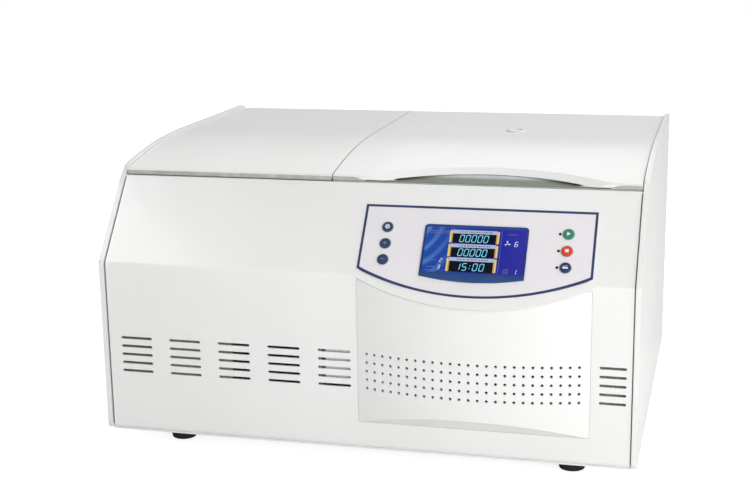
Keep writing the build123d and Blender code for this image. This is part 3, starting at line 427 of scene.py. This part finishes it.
class Plates:
    """Thin solid plates on the console in one mesh: outlines in (x, s), level = (low, high)."""

    def __init__(self):
        self.verts, self.faces = [], []

    def poly(self, points, level):
        count, base = len(points), len(self.verts)
        self.verts += [on_console(x, s, n) for n in level for x, s in points]
        self.faces.append([base + count + i for i in range(count)])
        self.faces.append([base + count - 1 - i for i in range(count)])
        for i in range(count):
            j = (i + 1) % count
            self.faces.append([base + i, base + j, base + count + j, base + count + i])
        return self

    def rect(self, x0, x1, s0, s1, level, radius=0.0):
        if radius <= 0:
            return self.poly([(x0, s0), (x1, s0), (x1, s1), (x0, s1)], level)
        steps = 5
        left, right, low, high = x0 + radius, x1 - radius, s0 + radius, s1 - radius
        points = []
        for x, s, start in ((right, low, -90), (right, high, 0), (left, high, 90), (left, low, 180)):
            for i in range(steps + 1):
                a = math.radians(start + 90 * i / steps)
                points.append((x + radius * math.cos(a), s + radius * math.sin(a)))
        return self.poly(points, level)

    def block(self, x, s, half_x, half_s, level, radius=0.0):
        """A rectangle about its centre."""
        return self.rect(x - half_x, x + half_x, s - half_s, s + half_s, level, radius)

    def ring(self, x, s, inner, outer, level, steps=36):
        base = len(self.verts)
        for n in level:
            for r in (inner, outer):
                for i in range(steps):
                    a = math.radians(360.0 * i / steps)
                    self.verts.append(on_console(x + r * math.cos(a), s + r * math.sin(a), n))
        in_low, out_low, in_high, out_high = (base + steps * i for i in range(4))
        for i in range(steps):
            j = (i + 1) % steps
            self.faces += [[in_high + i, out_high + i, out_high + j, in_high + j],
                           [in_low + i, in_low + j, out_low + j, out_low + i],
                           [out_low + i, out_low + j, out_high + j, out_high + i],
                           [in_low + i, in_high + i, in_high + j, in_low + j]]

    def bar(self, x0, s0, x1, s1, thick, foot, level):
        """One segment, pointed at both ends and slanted about the character's foot."""
        gap, half = thick * 0.12, thick / 2
        near, far = gap + half, -gap - half
        if s0 == s1:
            points = [(x0 + gap, s0), (x0 + near, s0 - half), (x1 + far, s0 - half),
                      (x1 - gap, s0), (x1 + far, s0 + half), (x0 + near, s0 + half)]
        else:
            points = [(x0, s0 + gap), (x0 + half, s0 + near), (x0 + half, s1 + far),
                      (x0, s1 - gap), (x0 - half, s1 + far), (x0 - half, s0 + near)]
        self.poly([(x + (s - foot) * SLANT, s) for x, s in points], level)

    def character(self, char, x, s, width, height, thick, level):
        """A seven-segment digit or a colon with its lower left corner at (x, s)."""
        if char == ":":
            for share in (0.3, 0.68):
                rise = height * share
                self.block(x + width / 2 + rise * SLANT, s + rise, thick * 0.5, thick * 0.5, level)
            return
        left, right = x + thick / 2, x + width - thick / 2
        low, middle, high = s + thick / 2, s + height / 2, s + height - thick / 2
        ends = {"a": (left, high, right, high), "b": (right, middle, right, high),
                "c": (right, low, right, middle), "d": (left, low, right, low),
                "e": (left, low, left, middle), "f": (left, middle, left, high),
                "g": (left, middle, right, middle)}
        for letter, line in ends.items():
            if letter in SEGMENTS[char]:
                self.bar(*line, thick, s, level)

    def text(self, chars, x, s, width, height, thick, gap, level):
        for char in chars:
            char_width = width * 0.5 if char == ":" else width
            self.character(char, x, s, char_width, height, thick, level)
            x += char_width + gap

    def build(self, name, material, slot, body="casing"):
        return mesh_obj(name, self.verts, self.faces, material, body)


# ---------------------------------------------------------------------------
# ink line round the console film
# ---------------------------------------------------------------------------
FILM_TOP = 0.62      # top of the film over the console
INK_WIDTH = 2.8
INK_LEFT, INK_RIGHT, INK_TOP, INK_LOW = -1.8, 258.4, 88.9, -20.7


def console_outline(inset, knee, arc_end):
    """Straight sides down to the knee and a sagging arc between; knee and arc_end are in s."""
    steps = 40
    left, right = INK_LEFT + inset, INK_RIGHT - inset
    top, low = INK_TOP - inset, INK_LOW + inset
    half, sag = (right - left) / 2, arc_end - low
    radius = (half ** 2 + sag ** 2) / (2 * sag)
    x, s = left + half, low + radius
    start, end = math.atan2(arc_end - s, -half), math.atan2(arc_end - s, half)
    angles = [start + (end - start) * i / steps for i in range(1, steps)]
    arc = [(x + radius * math.cos(a), s + radius * math.sin(a)) for a in angles]
    return [(left, top), (left, knee)] + arc + [(right, knee), (right, top)]


def ink_outline():
    outer = console_outline(inset=0.0, knee=8.9, arc_end=8.1)
    inner = console_outline(inset=INK_WIDTH, knee=10.9, arc_end=10.7)
    count = len(outer)
    verts = [on_console(x, s, n) for n in (FILM_TOP - 0.05, FILM_TOP + 0.14)
             for x, s in outer + inner]
    faces = []
    for i in range(count):
        j = (i + 1) % count
        faces += [[2 * count + i, 2 * count + j, 3 * count + j, 3 * count + i],
                  [i, count + i, count + j, j],
                  [i, j, 2 * count + j, 2 * count + i],
                  [count + j, count + i, 3 * count + i, 3 * count + j]]
    ink = printed("ink_navy", (48, 62, 100), rough=0.35, grain=1500.0, vary=0.06)
    mesh_obj("fascia_outline", verts, faces, ink)


ink_outline()

# ---------------------------------------------------------------------------
# display
# ---------------------------------------------------------------------------
BEZEL_LOW, BEZEL_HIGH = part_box("lcd_bezel")


def bezel_material():
    """Glossy blue frame, its tone changing with height."""
    m = Mat("display_frame")
    rise = m.remap(m.split(m.coord)["Z"], span=(BEZEL_LOW.z, BEZEL_HIGH.z))
    tone = m.ramp(rise, [(0.0, lin(58, 88, 136)), (0.14, lin(50, 80, 130)),
                         (0.2, lin(34, 54, 124)), (1.0, lin(52, 78, 140))])
    drift = m.remap(m.noise(scale=40.0), span=(0.4, 0.7), to=(0.0, 0.5))
    gloss = m.remap(m.noise(scale=60.0), span=(0.3, 0.7), to=(0.12, 0.22))
    m.shade(Base_Color=m.mix(drift, tone, lin(44, 66, 128)), Roughness=gloss,
            Coat_Weight=0.5, Coat_Roughness=0.05)
    m.bump(m.noise(scale=1500.0), distance=0.000008, strength=0.4, edge=0.0003)
    return m.material


def lit_material():
    """Lit blue field: a paler fan of streaks at the left, violet at the right."""
    m = Mat("display_lit")
    place = m.split(m.coord)
    across = m.remap(place["X"], span=(BEZEL_LOW.x, BEZEL_HIGH.x))
    rise = m.remap(place["Z"], span=(BEZEL_LOW.z, BEZEL_HIGH.z))
    field = m.ramp(across, [(0.0, lin(40, 84, 170)), (0.28, lin(36, 70, 170)),
                            (0.6, lin(34, 48, 158)), (0.76, lin(44, 44, 160)),
                            (1.0, lin(58, 50, 170))])
    fan = m.texture("ShaderNodeTexWave", scale=26.0, wave_type="RINGS", rings_direction="Y")
    fan.inputs["Distortion"].default_value = 2.5
    centre = (-BEZEL_LOW.x + 0.03, 0.0, -BEZEL_HIGH.z - 0.02)
    m.plug(fan.inputs["Vector"], m.mapped("Location", centre))
    streaks = m.times(m.remap(fan.outputs["Fac"], span=(0.35, 1.0), to=(0.0, 0.55)),
                      m.remap(across, span=(0.0, 0.34), to=(1.0, 0.0)))
    field = m.mix(streaks, field, lin(120, 176, 226))
    field = m.mix(m.remap(rise, span=(0.0, 1.0), to=(0.25, 0.0)), field, lin(24, 40, 120))
    gloss = m.remap(m.noise(scale=300.0, detail=2), span=(0.3, 0.7), to=(0.16, 0.24))
    m.shade(Emission_Color=field, Emission_Strength=0.85, Base_Color=lin(10, 20, 60),
            Coat_Weight=0.8, Coat_Roughness=0.04, Roughness=gloss)
    return m.material


assign("lcd_bezel", bezel_material())
display_lit = lit_material()
assign("lcd_module", display_lit)
Plates().rect(71.9, 182.7, 8.3, 63.3, (1.105, 1.145), radius=1.4).build(
    "lcd_glass", display_lit, "display_glass")


def over_glass(high, low=0.0):
    """A level measured from just over the lit glass."""
    return (1.16 + low, 1.16 + high)


FIELD_X0, FIELD_X1 = 101.5, 150.0
HEADER = 4.3         # height of the header strip on each readout field
# bottom s, top s, text, its x and s from the field's lower left corner, gap between characters
FIELDS = ((44.6, 60.6, "00000", 7.4, 1.3, 1.5),
          (27.6, 43.6, "00000", 7.4, 1.3, 1.5),
          (9.8, 27.0, "15:00", 6.6, 1.7, 2.0))
# character, x, s, width, height, thickness
SMALL_DIGITS = (("6", 170.3, 42.8, 3.9, 6.2, 0.75), ("1", 171.6, 9.4, 3.9, 6.2, 0.75),
                ("2", 89.6, 20.4, 3.2, 5.0, 0.6), ("3", 88.2, 12.2, 3.2, 5.0, 0.6))
FAN_X, FAN_S = 163.0, 46.3
FAN_BLADE = ((0.4, 1.2), (3.2, 0.42), (3.4, -0.1), (0.9, -0.5))    # radius, angle in radians
FRAME, FRAME_LINE = 4.6, 0.45      # side and line width of each square of the copies symbol
# s, first x, last x of the rows of marks that stand for captions
CAPTIONS = ((22.4, 77, 86), (14.2, 77, 85), (56.6, 163, 173))


def tick_row(plates, rng, x, stop, s, height, widths, gaps, level, limit=math.inf):
    """A row of small marks of random width and spacing, none reaching past the limit."""
    while x < stop:
        width = rng.uniform(*widths)
        plates.rect(x, min(x + width, limit), s, s + height, level)
        x += width + rng.uniform(*gaps)


def display_fields(dark, head, gold, light, digit, dim):
    """Readout fields with their headers, side brackets and digits."""
    x0, x1 = FIELD_X0, FIELD_X1
    for seed, (s0, s1, chars, dx, ds, gap) in enumerate(FIELDS, start=3):
        for left in (x0 - 3.5, x1):
            gold.rect(left, left + 3.5, s0 + 0.4, s1 - 0.6, over_glass(0.10), radius=0.5)
        for left in (x0 - 2.9, x1 + 1.6):
            light.rect(left, left + 1.3, s0 + 0.9, s1 - 1.2, over_glass(0.14, low=0.10))
        dark.rect(x0, x1, s0, s1 - HEADER, over_glass(0.12))
        head.rect(x0 - 1.2, x1 + 1.2, s1 - HEADER, s1, over_glass(0.14), radius=0.6)
        tick_row(dim, random.Random(seed), x0 + 8, x1 - 6, s1 - 2.9, height=1.4,
                 widths=(0.8, 2.2), gaps=(0.6, 1.6), level=over_glass(0.17, low=0.14))
        digit.text(chars, x0 + dx, s0 + ds, width=5.2, height=9.0, thick=0.85, gap=gap,
                   level=over_glass(0.18, low=0.12))


def display_symbols(white, line, dim):
    """Fan and copies symbols, small digits, rules and caption marks."""
    for angle in (90, 210, 330):
        turn = math.radians(angle)
        white.poly([(FAN_X + r * math.cos(turn + a), FAN_S + r * math.sin(turn + a))
                    for r, a in FAN_BLADE], over_glass(0.08))
    for entry in SMALL_DIGITS:
        white.character(*entry, over_glass(0.08))
    for shift in (0, 1.3):
        x, s = 161.2 + shift, 9.6 + shift
        x_end, s_end = x + FRAME, s + FRAME
        for sides in ((x, x_end, s, s + FRAME_LINE), (x, x_end, s_end - FRAME_LINE, s_end),
                      (x, x + FRAME_LINE, s, s_end), (x_end - FRAME_LINE, x_end, s, s_end)):
            dim.rect(*sides, over_glass(0.07 + 0.01 * shift))
    line.rect(155.6, 156.0, 9.0, 62.0, over_glass(0.06))
    line.rect(75.0, 96.0, 10.6, 10.95, over_glass(0.06))
    rng = random.Random(11)
    for s in (58.0, 55.6):
        tick_row(dim, rng, 76.5, 97, s, height=1.2, widths=(0.7, 2.4), gaps=(0.5, 1.1),
                 level=over_glass(0.06))
    for s, x, stop in CAPTIONS:
        tick_row(dim, rng, x, stop, s, height=1.1, widths=(0.7, 1.8), gaps=(0.5, 0.9),
                 level=over_glass(0.06), limit=stop + 1)


def display_content():
    dark, head, gold, light, digit, white, line, dim = (Plates() for _ in range(8))
    display_fields(dark, head, gold, light, digit, dim)
    display_symbols(white, line, dim)
    for plates, name, material in (
            (dark, "lcd_readout_fields",
             glow("lcd_readout", (6, 16, 34), strength=0.5, base=(4, 8, 18))),
            (head, "lcd_headers", glow("lcd_header", (196, 204, 232), strength=0.85)),
            (gold, "lcd_brackets", glow("lcd_bracket", (222, 178, 84), strength=0.85)),
            (light, "lcd_bracket_lights",
             glow("lcd_bracket_light", (250, 228, 160), strength=0.9)),
            (digit, "lcd_digits", glow("lcd_digits", (120, 214, 240), strength=1.25)),
            (white, "lcd_symbols", glow("lcd_white", (216, 226, 250), strength=1.0)),
            (line, "lcd_rules", glow("lcd_line", (110, 130, 216), strength=0.8)),
            (dim, "lcd_small_marks", glow("lcd_dim", (136, 148, 206), strength=0.55))):
        plates.build(name, material, "display_glass")


display_content()

# ---------------------------------------------------------------------------
# button symbols, each riding on its own button, and rings round the buttons
# ---------------------------------------------------------------------------
LEFT_X, RIGHT_X = 26.4, 228.1                # the two button columns
TOP_S, MIDDLE_S, LOW_S = 60.8, 40.4, 20.6    # the three button rows
MARK = (2.36, 2.46)                          # on the button's top face
BAR_LENGTH, BAR_WIDTH = 2.6, 0.4             # halves, for the plus and minus signs
GEAR_TOOTH = ((1.8, -0.55), (3.0, -0.42), (3.0, 0.42), (1.8, 0.55))    # along and across it


def button_marks():
    pale = printed("button_mark", (236, 238, 240))
    dim = printed("button_mark_dim", (118, 130, 158))

    gear = Plates()
    for i in range(8):
        a = math.radians(45 * i)
        cos, sin = math.cos(a), math.sin(a)
        gear.poly([(LEFT_X + x * cos - y * sin, TOP_S + x * sin + y * cos)
                   for x, y in GEAR_TOOTH], MARK)
    gear.ring(LEFT_X, TOP_S, inner=1.05, outer=2.2, level=MARK)
    gear.build("settings_mark", pale, "button_navy", "settings_button")

    plus = Plates()
    plus.block(LEFT_X, MIDDLE_S, BAR_LENGTH, BAR_WIDTH, MARK)
    plus.block(LEFT_X, MIDDLE_S, BAR_WIDTH, BAR_LENGTH, (MARK[0], MARK[1] + 0.01))
    plus.build("plus_mark", dim, "button_navy", "plus_button")

    minus = Plates().block(LEFT_X, LOW_S, BAR_LENGTH, BAR_WIDTH, MARK)
    minus.build("minus_mark", dim, "button_navy", "minus_button")

    triangle = [(RIGHT_X - 1.5, TOP_S - 2.4), (RIGHT_X + 2.5, TOP_S), (RIGHT_X - 1.5, TOP_S + 2.4)]
    Plates().poly(triangle, MARK).build("start_mark", pale, "button_green", "start_button")

    square = Plates().block(RIGHT_X, MIDDLE_S, 2.0, 1.9, MARK, radius=0.5)
    square.build("stop_mark", pale, "button_red", "stop_button")

    # a box with a tilted lid
    lid = Plates()
    lid.rect(RIGHT_X - 2.9, RIGHT_X + 2.9, LOW_S - 1.5, LOW_S + 0.5, MARK, radius=0.3)
    lid.poly([(RIGHT_X - 2.9, LOW_S + 0.9), (RIGHT_X + 2.4, LOW_S + 1.9),
              (RIGHT_X + 2.4, LOW_S + 2.3), (RIGHT_X - 2.9, LOW_S + 1.4)], MARK)
    lid.build("lid_mark", pale, "button_navy", "lid_button")


def button_rings():
    rings = Plates()
    for x in (LEFT_X, RIGHT_X):
        for s in (TOP_S, MIDDLE_S, LOW_S):
            rings.ring(x, s, inner=6.15, outer=6.9, level=(FILM_TOP - 0.05, FILM_TOP + 0.16),
                       steps=48)
    material = printed("button_ring", (176, 180, 190), rough=0.35, grain=1500.0, vary=0.05)
    rings.build("button_rings", material, "fascia_film")


button_marks()
button_rings()

# ---------------------------------------------------------------------------
# softened sheet edges, grey strips on the covers' rounded front noses with their shade painted in,
# liner of the lid's finger scoop with painted light and shade
# ---------------------------------------------------------------------------


def soften(name):
    """Welds the sheet's seams (metres) and rounds its sharp edges."""
    weld = NODES[name].modifiers.new("join", "WELD")
    weld.merge_threshold = 0.00001
    bevel = NODES[name].modifiers.new("edge", "BEVEL")
    bevel.width = 0.0013
    bevel.segments = 2
    bevel.limit_method = "ANGLE"
    bevel.angle_limit = math.radians(35)
    bevel.use_clamp_overlap = True
    bevel.harden_normals = True
    bevel.miter_outer = "MITER_ARC"


soften("right_side_panel")
soften("left_side_panel")

NOSE_FOOT = 289.3    # the height that the tapered nose strips shrink towards
# closed section of a nose strip: y, z
NOSE_SECTION = [(79.0, NOSE_FOOT), (79.0, 291.0), (76.48, 291.0), (76.48, 293.9),
                (76.1, 294.3), (75.8, 293.6), (75.62, 292.4), (75.6, 291.2), (75.8, 290.1),
                (76.3, 289.4), (77.0, 289.2)]
# closed section of the scoop liner: y, z, along the underside to the back and over it again
LINER_SECTION = [(75.4, 290.2), (80.0, 290.25), (86.0, 290.7), (92.0, 291.7), (97.0, 293.1),
                 (101.0, 294.8), (103.5, 296.0), (103.0, 296.1), (100.4, 295.3), (96.4, 293.7),
                 (91.6, 292.3), (85.8, 291.2), (80.0, 290.75), (75.6, 290.6)]
LINER_UNDER = 7      # the section's first sides: the underside and the back tip


def run_x(name, section, x0, x1, steps, material, body, taper=None):
    """A closed (y, z) section run along X; taper = (x where thin, x where full)."""
    verts, faces = [], []
    count = len(section)
    for i in range(steps + 1):
        x = x0 + (x1 - x0) * i / steps
        size = 1.0
        if taper:
            thin, full = taper
            t = min(1.0, max(0.0, (x - thin) / (full - thin)))
            size = 0.12 + 0.88 * t * t * (3 - 2 * t)
        verts += [on_casing(x, y, z + (NOSE_FOOT - z) * (1 - size)) for y, z in section]
    for i in range(steps):
        for j in range(count):
            a, b = i * count + j, i * count + (j + 1) % count
            faces.append([a, a + count, b + count, b])
    faces.append(list(range(count)))
    faces.append([steps * count + count - 1 - j for j in range(count)])
    obj = mesh_obj(name, verts, faces, material, body)
    for face in obj.data.polygons:
        face.use_smooth = len(face.vertices) == 4
    obj.data.set_sharp_from_angle(angle=math.radians(50))
    return obj


def liner_material():
    """Grey-green, with painted light paling it towards the top edge and painted shade darkening it
    towards both ends.
    """
    m = Mat("scoop_liner")
    place = m.split(m.coord)
    rise = m.remap(place["Z"], span=(0.3172, 0.3216))
    across = m.remap(place["X"], span=(-0.010, 0.271), to=(-1.0, 1.0))
    # painted shade: darker towards both closed ends of the scoop
    ends = m.remap(m.times(across, across), span=(0.25, 1.0), to=(0.0, 0.75))
    # the pale top stop is painted light from the lit lip above
    color = m.ramp(rise, [(0.0, lin(102, 113, 91)), (0.5, lin(116, 126, 106)),
                          (1.0, lin(198, 200, 198))])
    color = m.mix(ends, color, lin(76, 83, 65))
    drift = m.remap(m.noise(scale=90.0), span=(0.4, 0.7), to=(0.0, 0.12))
    gloss = m.remap(m.noise(scale=300.0, detail=3), span=(0.3, 0.7), to=(0.4, 0.55))
    m.shade(Base_Color=m.mix(drift, color, lin(120, 128, 108)), Roughness=gloss)
    m.bump(m.noise(scale=900.0), distance=0.00002, strength=0.5)
    return m.material


# these strips stand for the white covers' rounded front noses; their grey is painted shade, the
# shade under the nose
nose_shade = rubber("nose_painted_shade", (168, 170, 165), rough=0.55)
# name, x ends, steps, body, taper
for name, x0, x1, steps, body, taper in (
        ("cover_nose_shade", -303.0, -49.6, 40, "casing", None),
        ("lid_nose_shade_left", -47.6, -4.0, 28, "lid", (-4.0, -24.0)),
        ("lid_nose_shade_right", 262.0, 303.0, 28, "lid", (262.0, 284.0))):
    run_x(name, NOSE_SECTION, x0, x1, steps, nose_shade, body, taper)

scoop = run_x("scoop_liner", LINER_SECTION, -9.5, 270.5, 60, liner_material(), "lid")
scoop.data.materials.append(inner_paint)
for face in scoop.data.polygons:
    if len(face.vertices) == 4 and face.index % len(LINER_SECTION) < LINER_UNDER:
        face.material_index = 1

# ---------------------------------------------------------------------------
# pleated intake mats and shields behind the slots
# ---------------------------------------------------------------------------


def pleats(name, x, z, y, pitch, depth, material):
    """A zigzag sheet between two x and two z, folding back from y."""
    thick = 0.7
    verts, faces = [], []
    folds = max(2, int(round((x[1] - x[0]) / pitch * 2)))
    for offset in (0.0, thick):
        for i in range(folds + 1):
            across = x[0] + (x[1] - x[0]) * i / folds
            back = y + ((depth if i % 2 else 0.0) + offset)
            verts += [on_casing(across, back, height) for height in z]
    n = 2 * (folds + 1)
    for i in range(folds):
        a = 2 * i
        faces += [[a, a + 2, a + 3, a + 1],
                  [n + a, n + a + 1, n + a + 3, n + a + 2],
                  [a, n + a, n + a + 2, a + 2],
                  [a + 1, a + 3, n + a + 3, n + a + 1]]
    end = 2 * folds
    faces += [[0, 1, n + 1, n], [end, n + end, n + end + 1, end + 1]]
    mesh_obj(name, verts, faces, material)


mat_dark = foam("intake_mat_dark", (128, 136, 112))
mat_pale = foam("intake_mat", (152, 162, 144))
shield = metal("intake_shield", (226, 228, 226), rough=0.5, brush=(6, 1, 1), edge=0.0002,
               metallic=0.35)
pleats("intake_mat_left", x=(-296.0, -238.6), z=(60.0, 118.0), y=5.2, pitch=3.0, depth=1.6,
       material=mat_dark)
pleats("intake_mat_middle", x=(-238.0, -152.5), z=(60.0, 118.0), y=4.8, pitch=3.2, depth=1.4,
       material=mat_pale)
pleats("duct_shield", x=(-40.0, -6.0), z=(76.0, 118.0), y=4.6, pitch=6.8, depth=0.5,
       material=shield)
pleats("duct_shield_side", x=(266.5, 299.5), z=(60.0, 113.0), y=5.4, pitch=3.0, depth=1.2,
       material=mat_pale)

# ---------------------------------------------------------------------------
# dark beads up both sides of the front and the console, their grey painted shade of the gaps there
# ---------------------------------------------------------------------------
BEND_RADIUS = 5.0
BEAD_LIFT = 0.25


def front_profile():
    """Stations up the front, round the bend and up the console: y, z, outward y, outward z."""
    cos, sin = math.cos(SLOPE), math.sin(SLOPE)
    bend = math.radians(90) - SLOPE
    tangent = BEND_RADIUS * math.tan(bend / 2)
    stations = [(0.0, z, -1, 0) for z in (1.0, 60.0, 120.0, BEND_Z - 1.9)]
    for i in range(1, 6):
        a = bend * i / 6
        stations.append((BEND_RADIUS - BEND_RADIUS * math.cos(a),
                         BEND_Z - tangent + BEND_RADIUS * math.sin(a),
                         -math.cos(a), math.sin(a)))
    return stations + [(s * cos, BEND_Z + s * sin, -sin, cos)
                       for s in (2.0, 30.0, 60.0, 90.0, 114.0)]


def ribbon(name, x0, x1, material):
    verts, faces = [], []
    stations = front_profile()
    for y, z, out_y, out_z in stations:
        for share, lift in ((0.0, 0.0), (0.2, BEAD_LIFT), (0.8, BEAD_LIFT), (1.0, 0.0)):
            verts.append(on_casing(x0 + (x1 - x0) * share, y + out_y * lift, z + out_z * lift))
    for i in range(len(stations) - 1):
        a = 4 * i
        for j in range(4):
            b = (j + 1) % 4
            faces.append([a + j, a + b, a + 4 + b, a + 4 + j])
    end = 4 * (len(stations) - 1)
    faces += [[3, 2, 1, 0], [end, end + 1, end + 2, end + 3]]
    mesh_obj(name, verts, faces, material)


# painted shade: the beads' grey is the shade in the side gaps, darker on the left than on the right
ribbon("side_gap_shade_left", -303.6, -302.5, rubber("side_gap_shade_left", (84, 92, 80), rough=0.6))
ribbon("side_gap_shade_right", 302.7, 303.6, rubber("side_gap_shade_right", (116, 118, 110), rough=0.6))


def bay_mat():
    """Dark ridged mesh mat lying against the inside of the curved, perforated bay wall."""
    steps, half_angle = 96, 16.9
    centre_x, centre_y = 128.6, 402.58
    outer, inner, ridge = 420.15, 419.0, 0.5
    verts, faces = [], []
    for i in range(steps + 1):
        a = math.radians(-half_angle + 2 * half_angle * i / steps)
        for r in (outer - (ridge if i % 2 else 0.0), inner):
            for z in (61.0, 118.0):
                verts.append(on_casing(centre_x + r * math.sin(a), centre_y - r * math.cos(a), z))
    for i in range(steps):
        a, b = 4 * i, 4 * (i + 1)
        faces += [[a, b, b + 1, a + 1], [a + 2, a + 3, b + 3, b + 2],
                  [a, a + 2, b + 2, b], [a + 1, b + 1, b + 3, a + 3]]
    end = 4 * steps
    faces += [[0, 1, 3, 2], [end, end + 2, end + 3, end + 1]]
    mesh_obj("bay_mesh_mat", verts, faces, foam("bay_mesh_mat", (58, 62, 56)))


bay_mat()

# ---------------------------------------------------------------------------
# stage: floor, world, lights, camera (metres)
# ---------------------------------------------------------------------------


def floor_material():
    """Pale floor that glows towards the camera, so that it fades into the white."""
    seen_strength = 0.80
    thrown_gain = 0.0    # light thrown up from the floor in front of the object: none
    m = Mat("floor_pale")
    m.shade(Base_Color=m.mix(m.remap(m.noise(scale=1.2, detail=3), span=(0.3, 0.7)),
                             lin(226, 226, 226), lin(221, 221, 221)), Roughness=0.9)
    seen = m.node("ShaderNodeEmission", name="floor_seen")
    seen.inputs[1].default_value = seen_strength
    gain = m.times(m.remap(m.split(m.coord)["Y"], span=(-0.35, -1.1)), thrown_gain)
    gain.node.name = "floor_ahead"
    thrown = m.node("ShaderNodeEmission")
    m.plug(thrown.inputs[1], gain)
    emitted = m.node("ShaderNodeMixShader")
    m.plug(emitted.inputs[0], m.node("ShaderNodeLightPath").outputs["Is Camera Ray"])
    m.plug(emitted.inputs[1], thrown.outputs[0])
    m.plug(emitted.inputs[2], seen.outputs[0])
    total = m.node("ShaderNodeAddShader")
    m.plug(total.inputs[0], m.shader.outputs[0])
    m.plug(total.inputs[1], emitted.outputs[0])
    m.plug(m.output.inputs[0], total.outputs[0])
    return m.material


def add_floor():
    mesh = bpy.data.meshes.new("floor")
    grid = bmesh.new()
    bmesh.ops.create_grid(grid, x_segments=8, y_segments=8, size=7.0)
    grid.to_mesh(mesh)
    grid.free()
    obj = bpy.data.objects.new("floor", mesh)
    scene.collection.objects.link(obj)
    mesh.materials.append(floor_material())


# soft walls of light: direction, cosines to it where the light starts and is full, strength
WALLS = {
    "top": ((0, 0, 1), 0.45, 0.98, 0.0),
    "back_low": ((0, 0.97, 0.23), 0.55, 0.98, 0.57),
    "back_high": ((0, 0.6, 0.8), 0.70, 0.99, 1.0),
    "front_high": ((0, -0.5, 0.866), 0.75, 0.99, 0.0),
    "front_low": ((0, -0.97, 0.23), 0.60, 0.98, 0.73),
    "left": ((-0.95, -0.1, 0.3), 0.60, 0.98, 0.0),
    "right": ((0.95, 0.1, 0.3), 0.60, 0.98, 1.07),
    "all": ((0, 0, 1), -2.0, -1.5, 0.0),
}


def add_world():
    """The camera sees plain white, while the object is lit by the walls."""
    world = bpy.data.worlds.new("studio")
    scene.world = world
    world.use_nodes = True
    g = Graph(world.node_tree)
    output = g.node("ShaderNodeOutputWorld")
    direction = g.node("ShaderNodeTexCoord").outputs["Generated"]
    total = None
    for name, (axis, start, full, strength) in WALLS.items():
        facing = g.dot(direction, Vector(axis).normalized())
        spread = g.remap(facing, span=(start, full), interpolation_type="SMOOTHSTEP")
        wall = g.times(spread, strength)
        wall.node.name = "wall_" + name
        total = g.plus(total, wall) if total else wall
    mixed = g.node("ShaderNodeMixShader")
    g.plug(mixed.inputs[0], g.node("ShaderNodeLightPath").outputs["Is Camera Ray"])
    for i, strength in ((1, total), (2, 1.0)):
        background = g.node("ShaderNodeBackground")
        background.inputs[0].default_value = (1, 1, 1, 1)
        g.plug(background.inputs[1], strength)
        g.plug(mixed.inputs[i], background.outputs[0])
    g.plug(output.inputs[0], mixed.outputs[0])


# name, place, target, width, height (None for square), watts
LIGHTS = (
    ("soft_left", (-1.21, -0.91, 1.83), (-0.2, -0.2, 0.25), 1.2, 0.3, 6.8),
    ("soft_right", (1.6, 0.0, 0.8), (0.2, 0.0, 0.15), 1.2, None, 4.6),
    ("right_front", (1.35, -1.3, 0.5), (0.2, -0.2, 0.15), 0.8, None, 6.9),
    ("right_low", (0.9, -1.1, 0.22), (0.15, -0.24, 0.15), 0.5, None, 1.7),
    ("front_fill", (0.3, -2.3, 0.45), (0.1, 0, 0.2), 3.0, 0.9, 10.0),
    ("top_right", (0.9, -0.2, 1.9), (0.1, 0.0, 0.2), 1.2, None, 4.9),
    ("back_top", (0.2, 1.5, 1.5), (0.0, 0.0, 0.3), 1.5, None, 2.0),
)


def add_light(name, place, target, width, height, watts):
    light = bpy.data.lights.new(name, "AREA")
    light.energy = watts
    light.size = width
    if height:
        light.shape = "RECTANGLE"
        light.size_y = height
    obj = bpy.data.objects.new(name, light)
    scene.collection.objects.link(obj)
    obj.location = place
    aim = Vector(target) - Vector(place)
    obj.rotation_euler = aim.to_track_quat("-Z", "Y").to_euler()


CAMERA_PLACE = (0.39742, -1.67358, 0.60905)
CAMERA_TURN = math.radians(14.7124)      # to the left of straight back
CAMERA_DIP = math.radians(13.4336)       # below level
CAMERA_ROLL = math.radians(-0.8909)


def add_camera():
    data = bpy.data.cameras.new("camera")
    camera = bpy.data.objects.new("camera", data)
    scene.collection.objects.link(camera)
    data.sensor_fit = "HORIZONTAL"
    data.sensor_width = 36.0
    data.lens = 66.70512
    data.clip_start = 0.05
    data.clip_end = 50
    camera.matrix_world = (Matrix.Translation(CAMERA_PLACE)
                           @ Matrix.Rotation(CAMERA_TURN, 4, "Z")
                           @ Matrix.Rotation(math.radians(90) - CAMERA_DIP, 4, "X")
                           @ Matrix.Rotation(CAMERA_ROLL, 4, "Z"))
    scene.camera = camera


add_floor()
add_world()
for entry in LIGHTS:
    add_light(*entry)
add_camera()

scene.view_settings.view_transform = "Standard"
scene.view_settings.look = "None"
scene.view_settings.exposure = 0.0
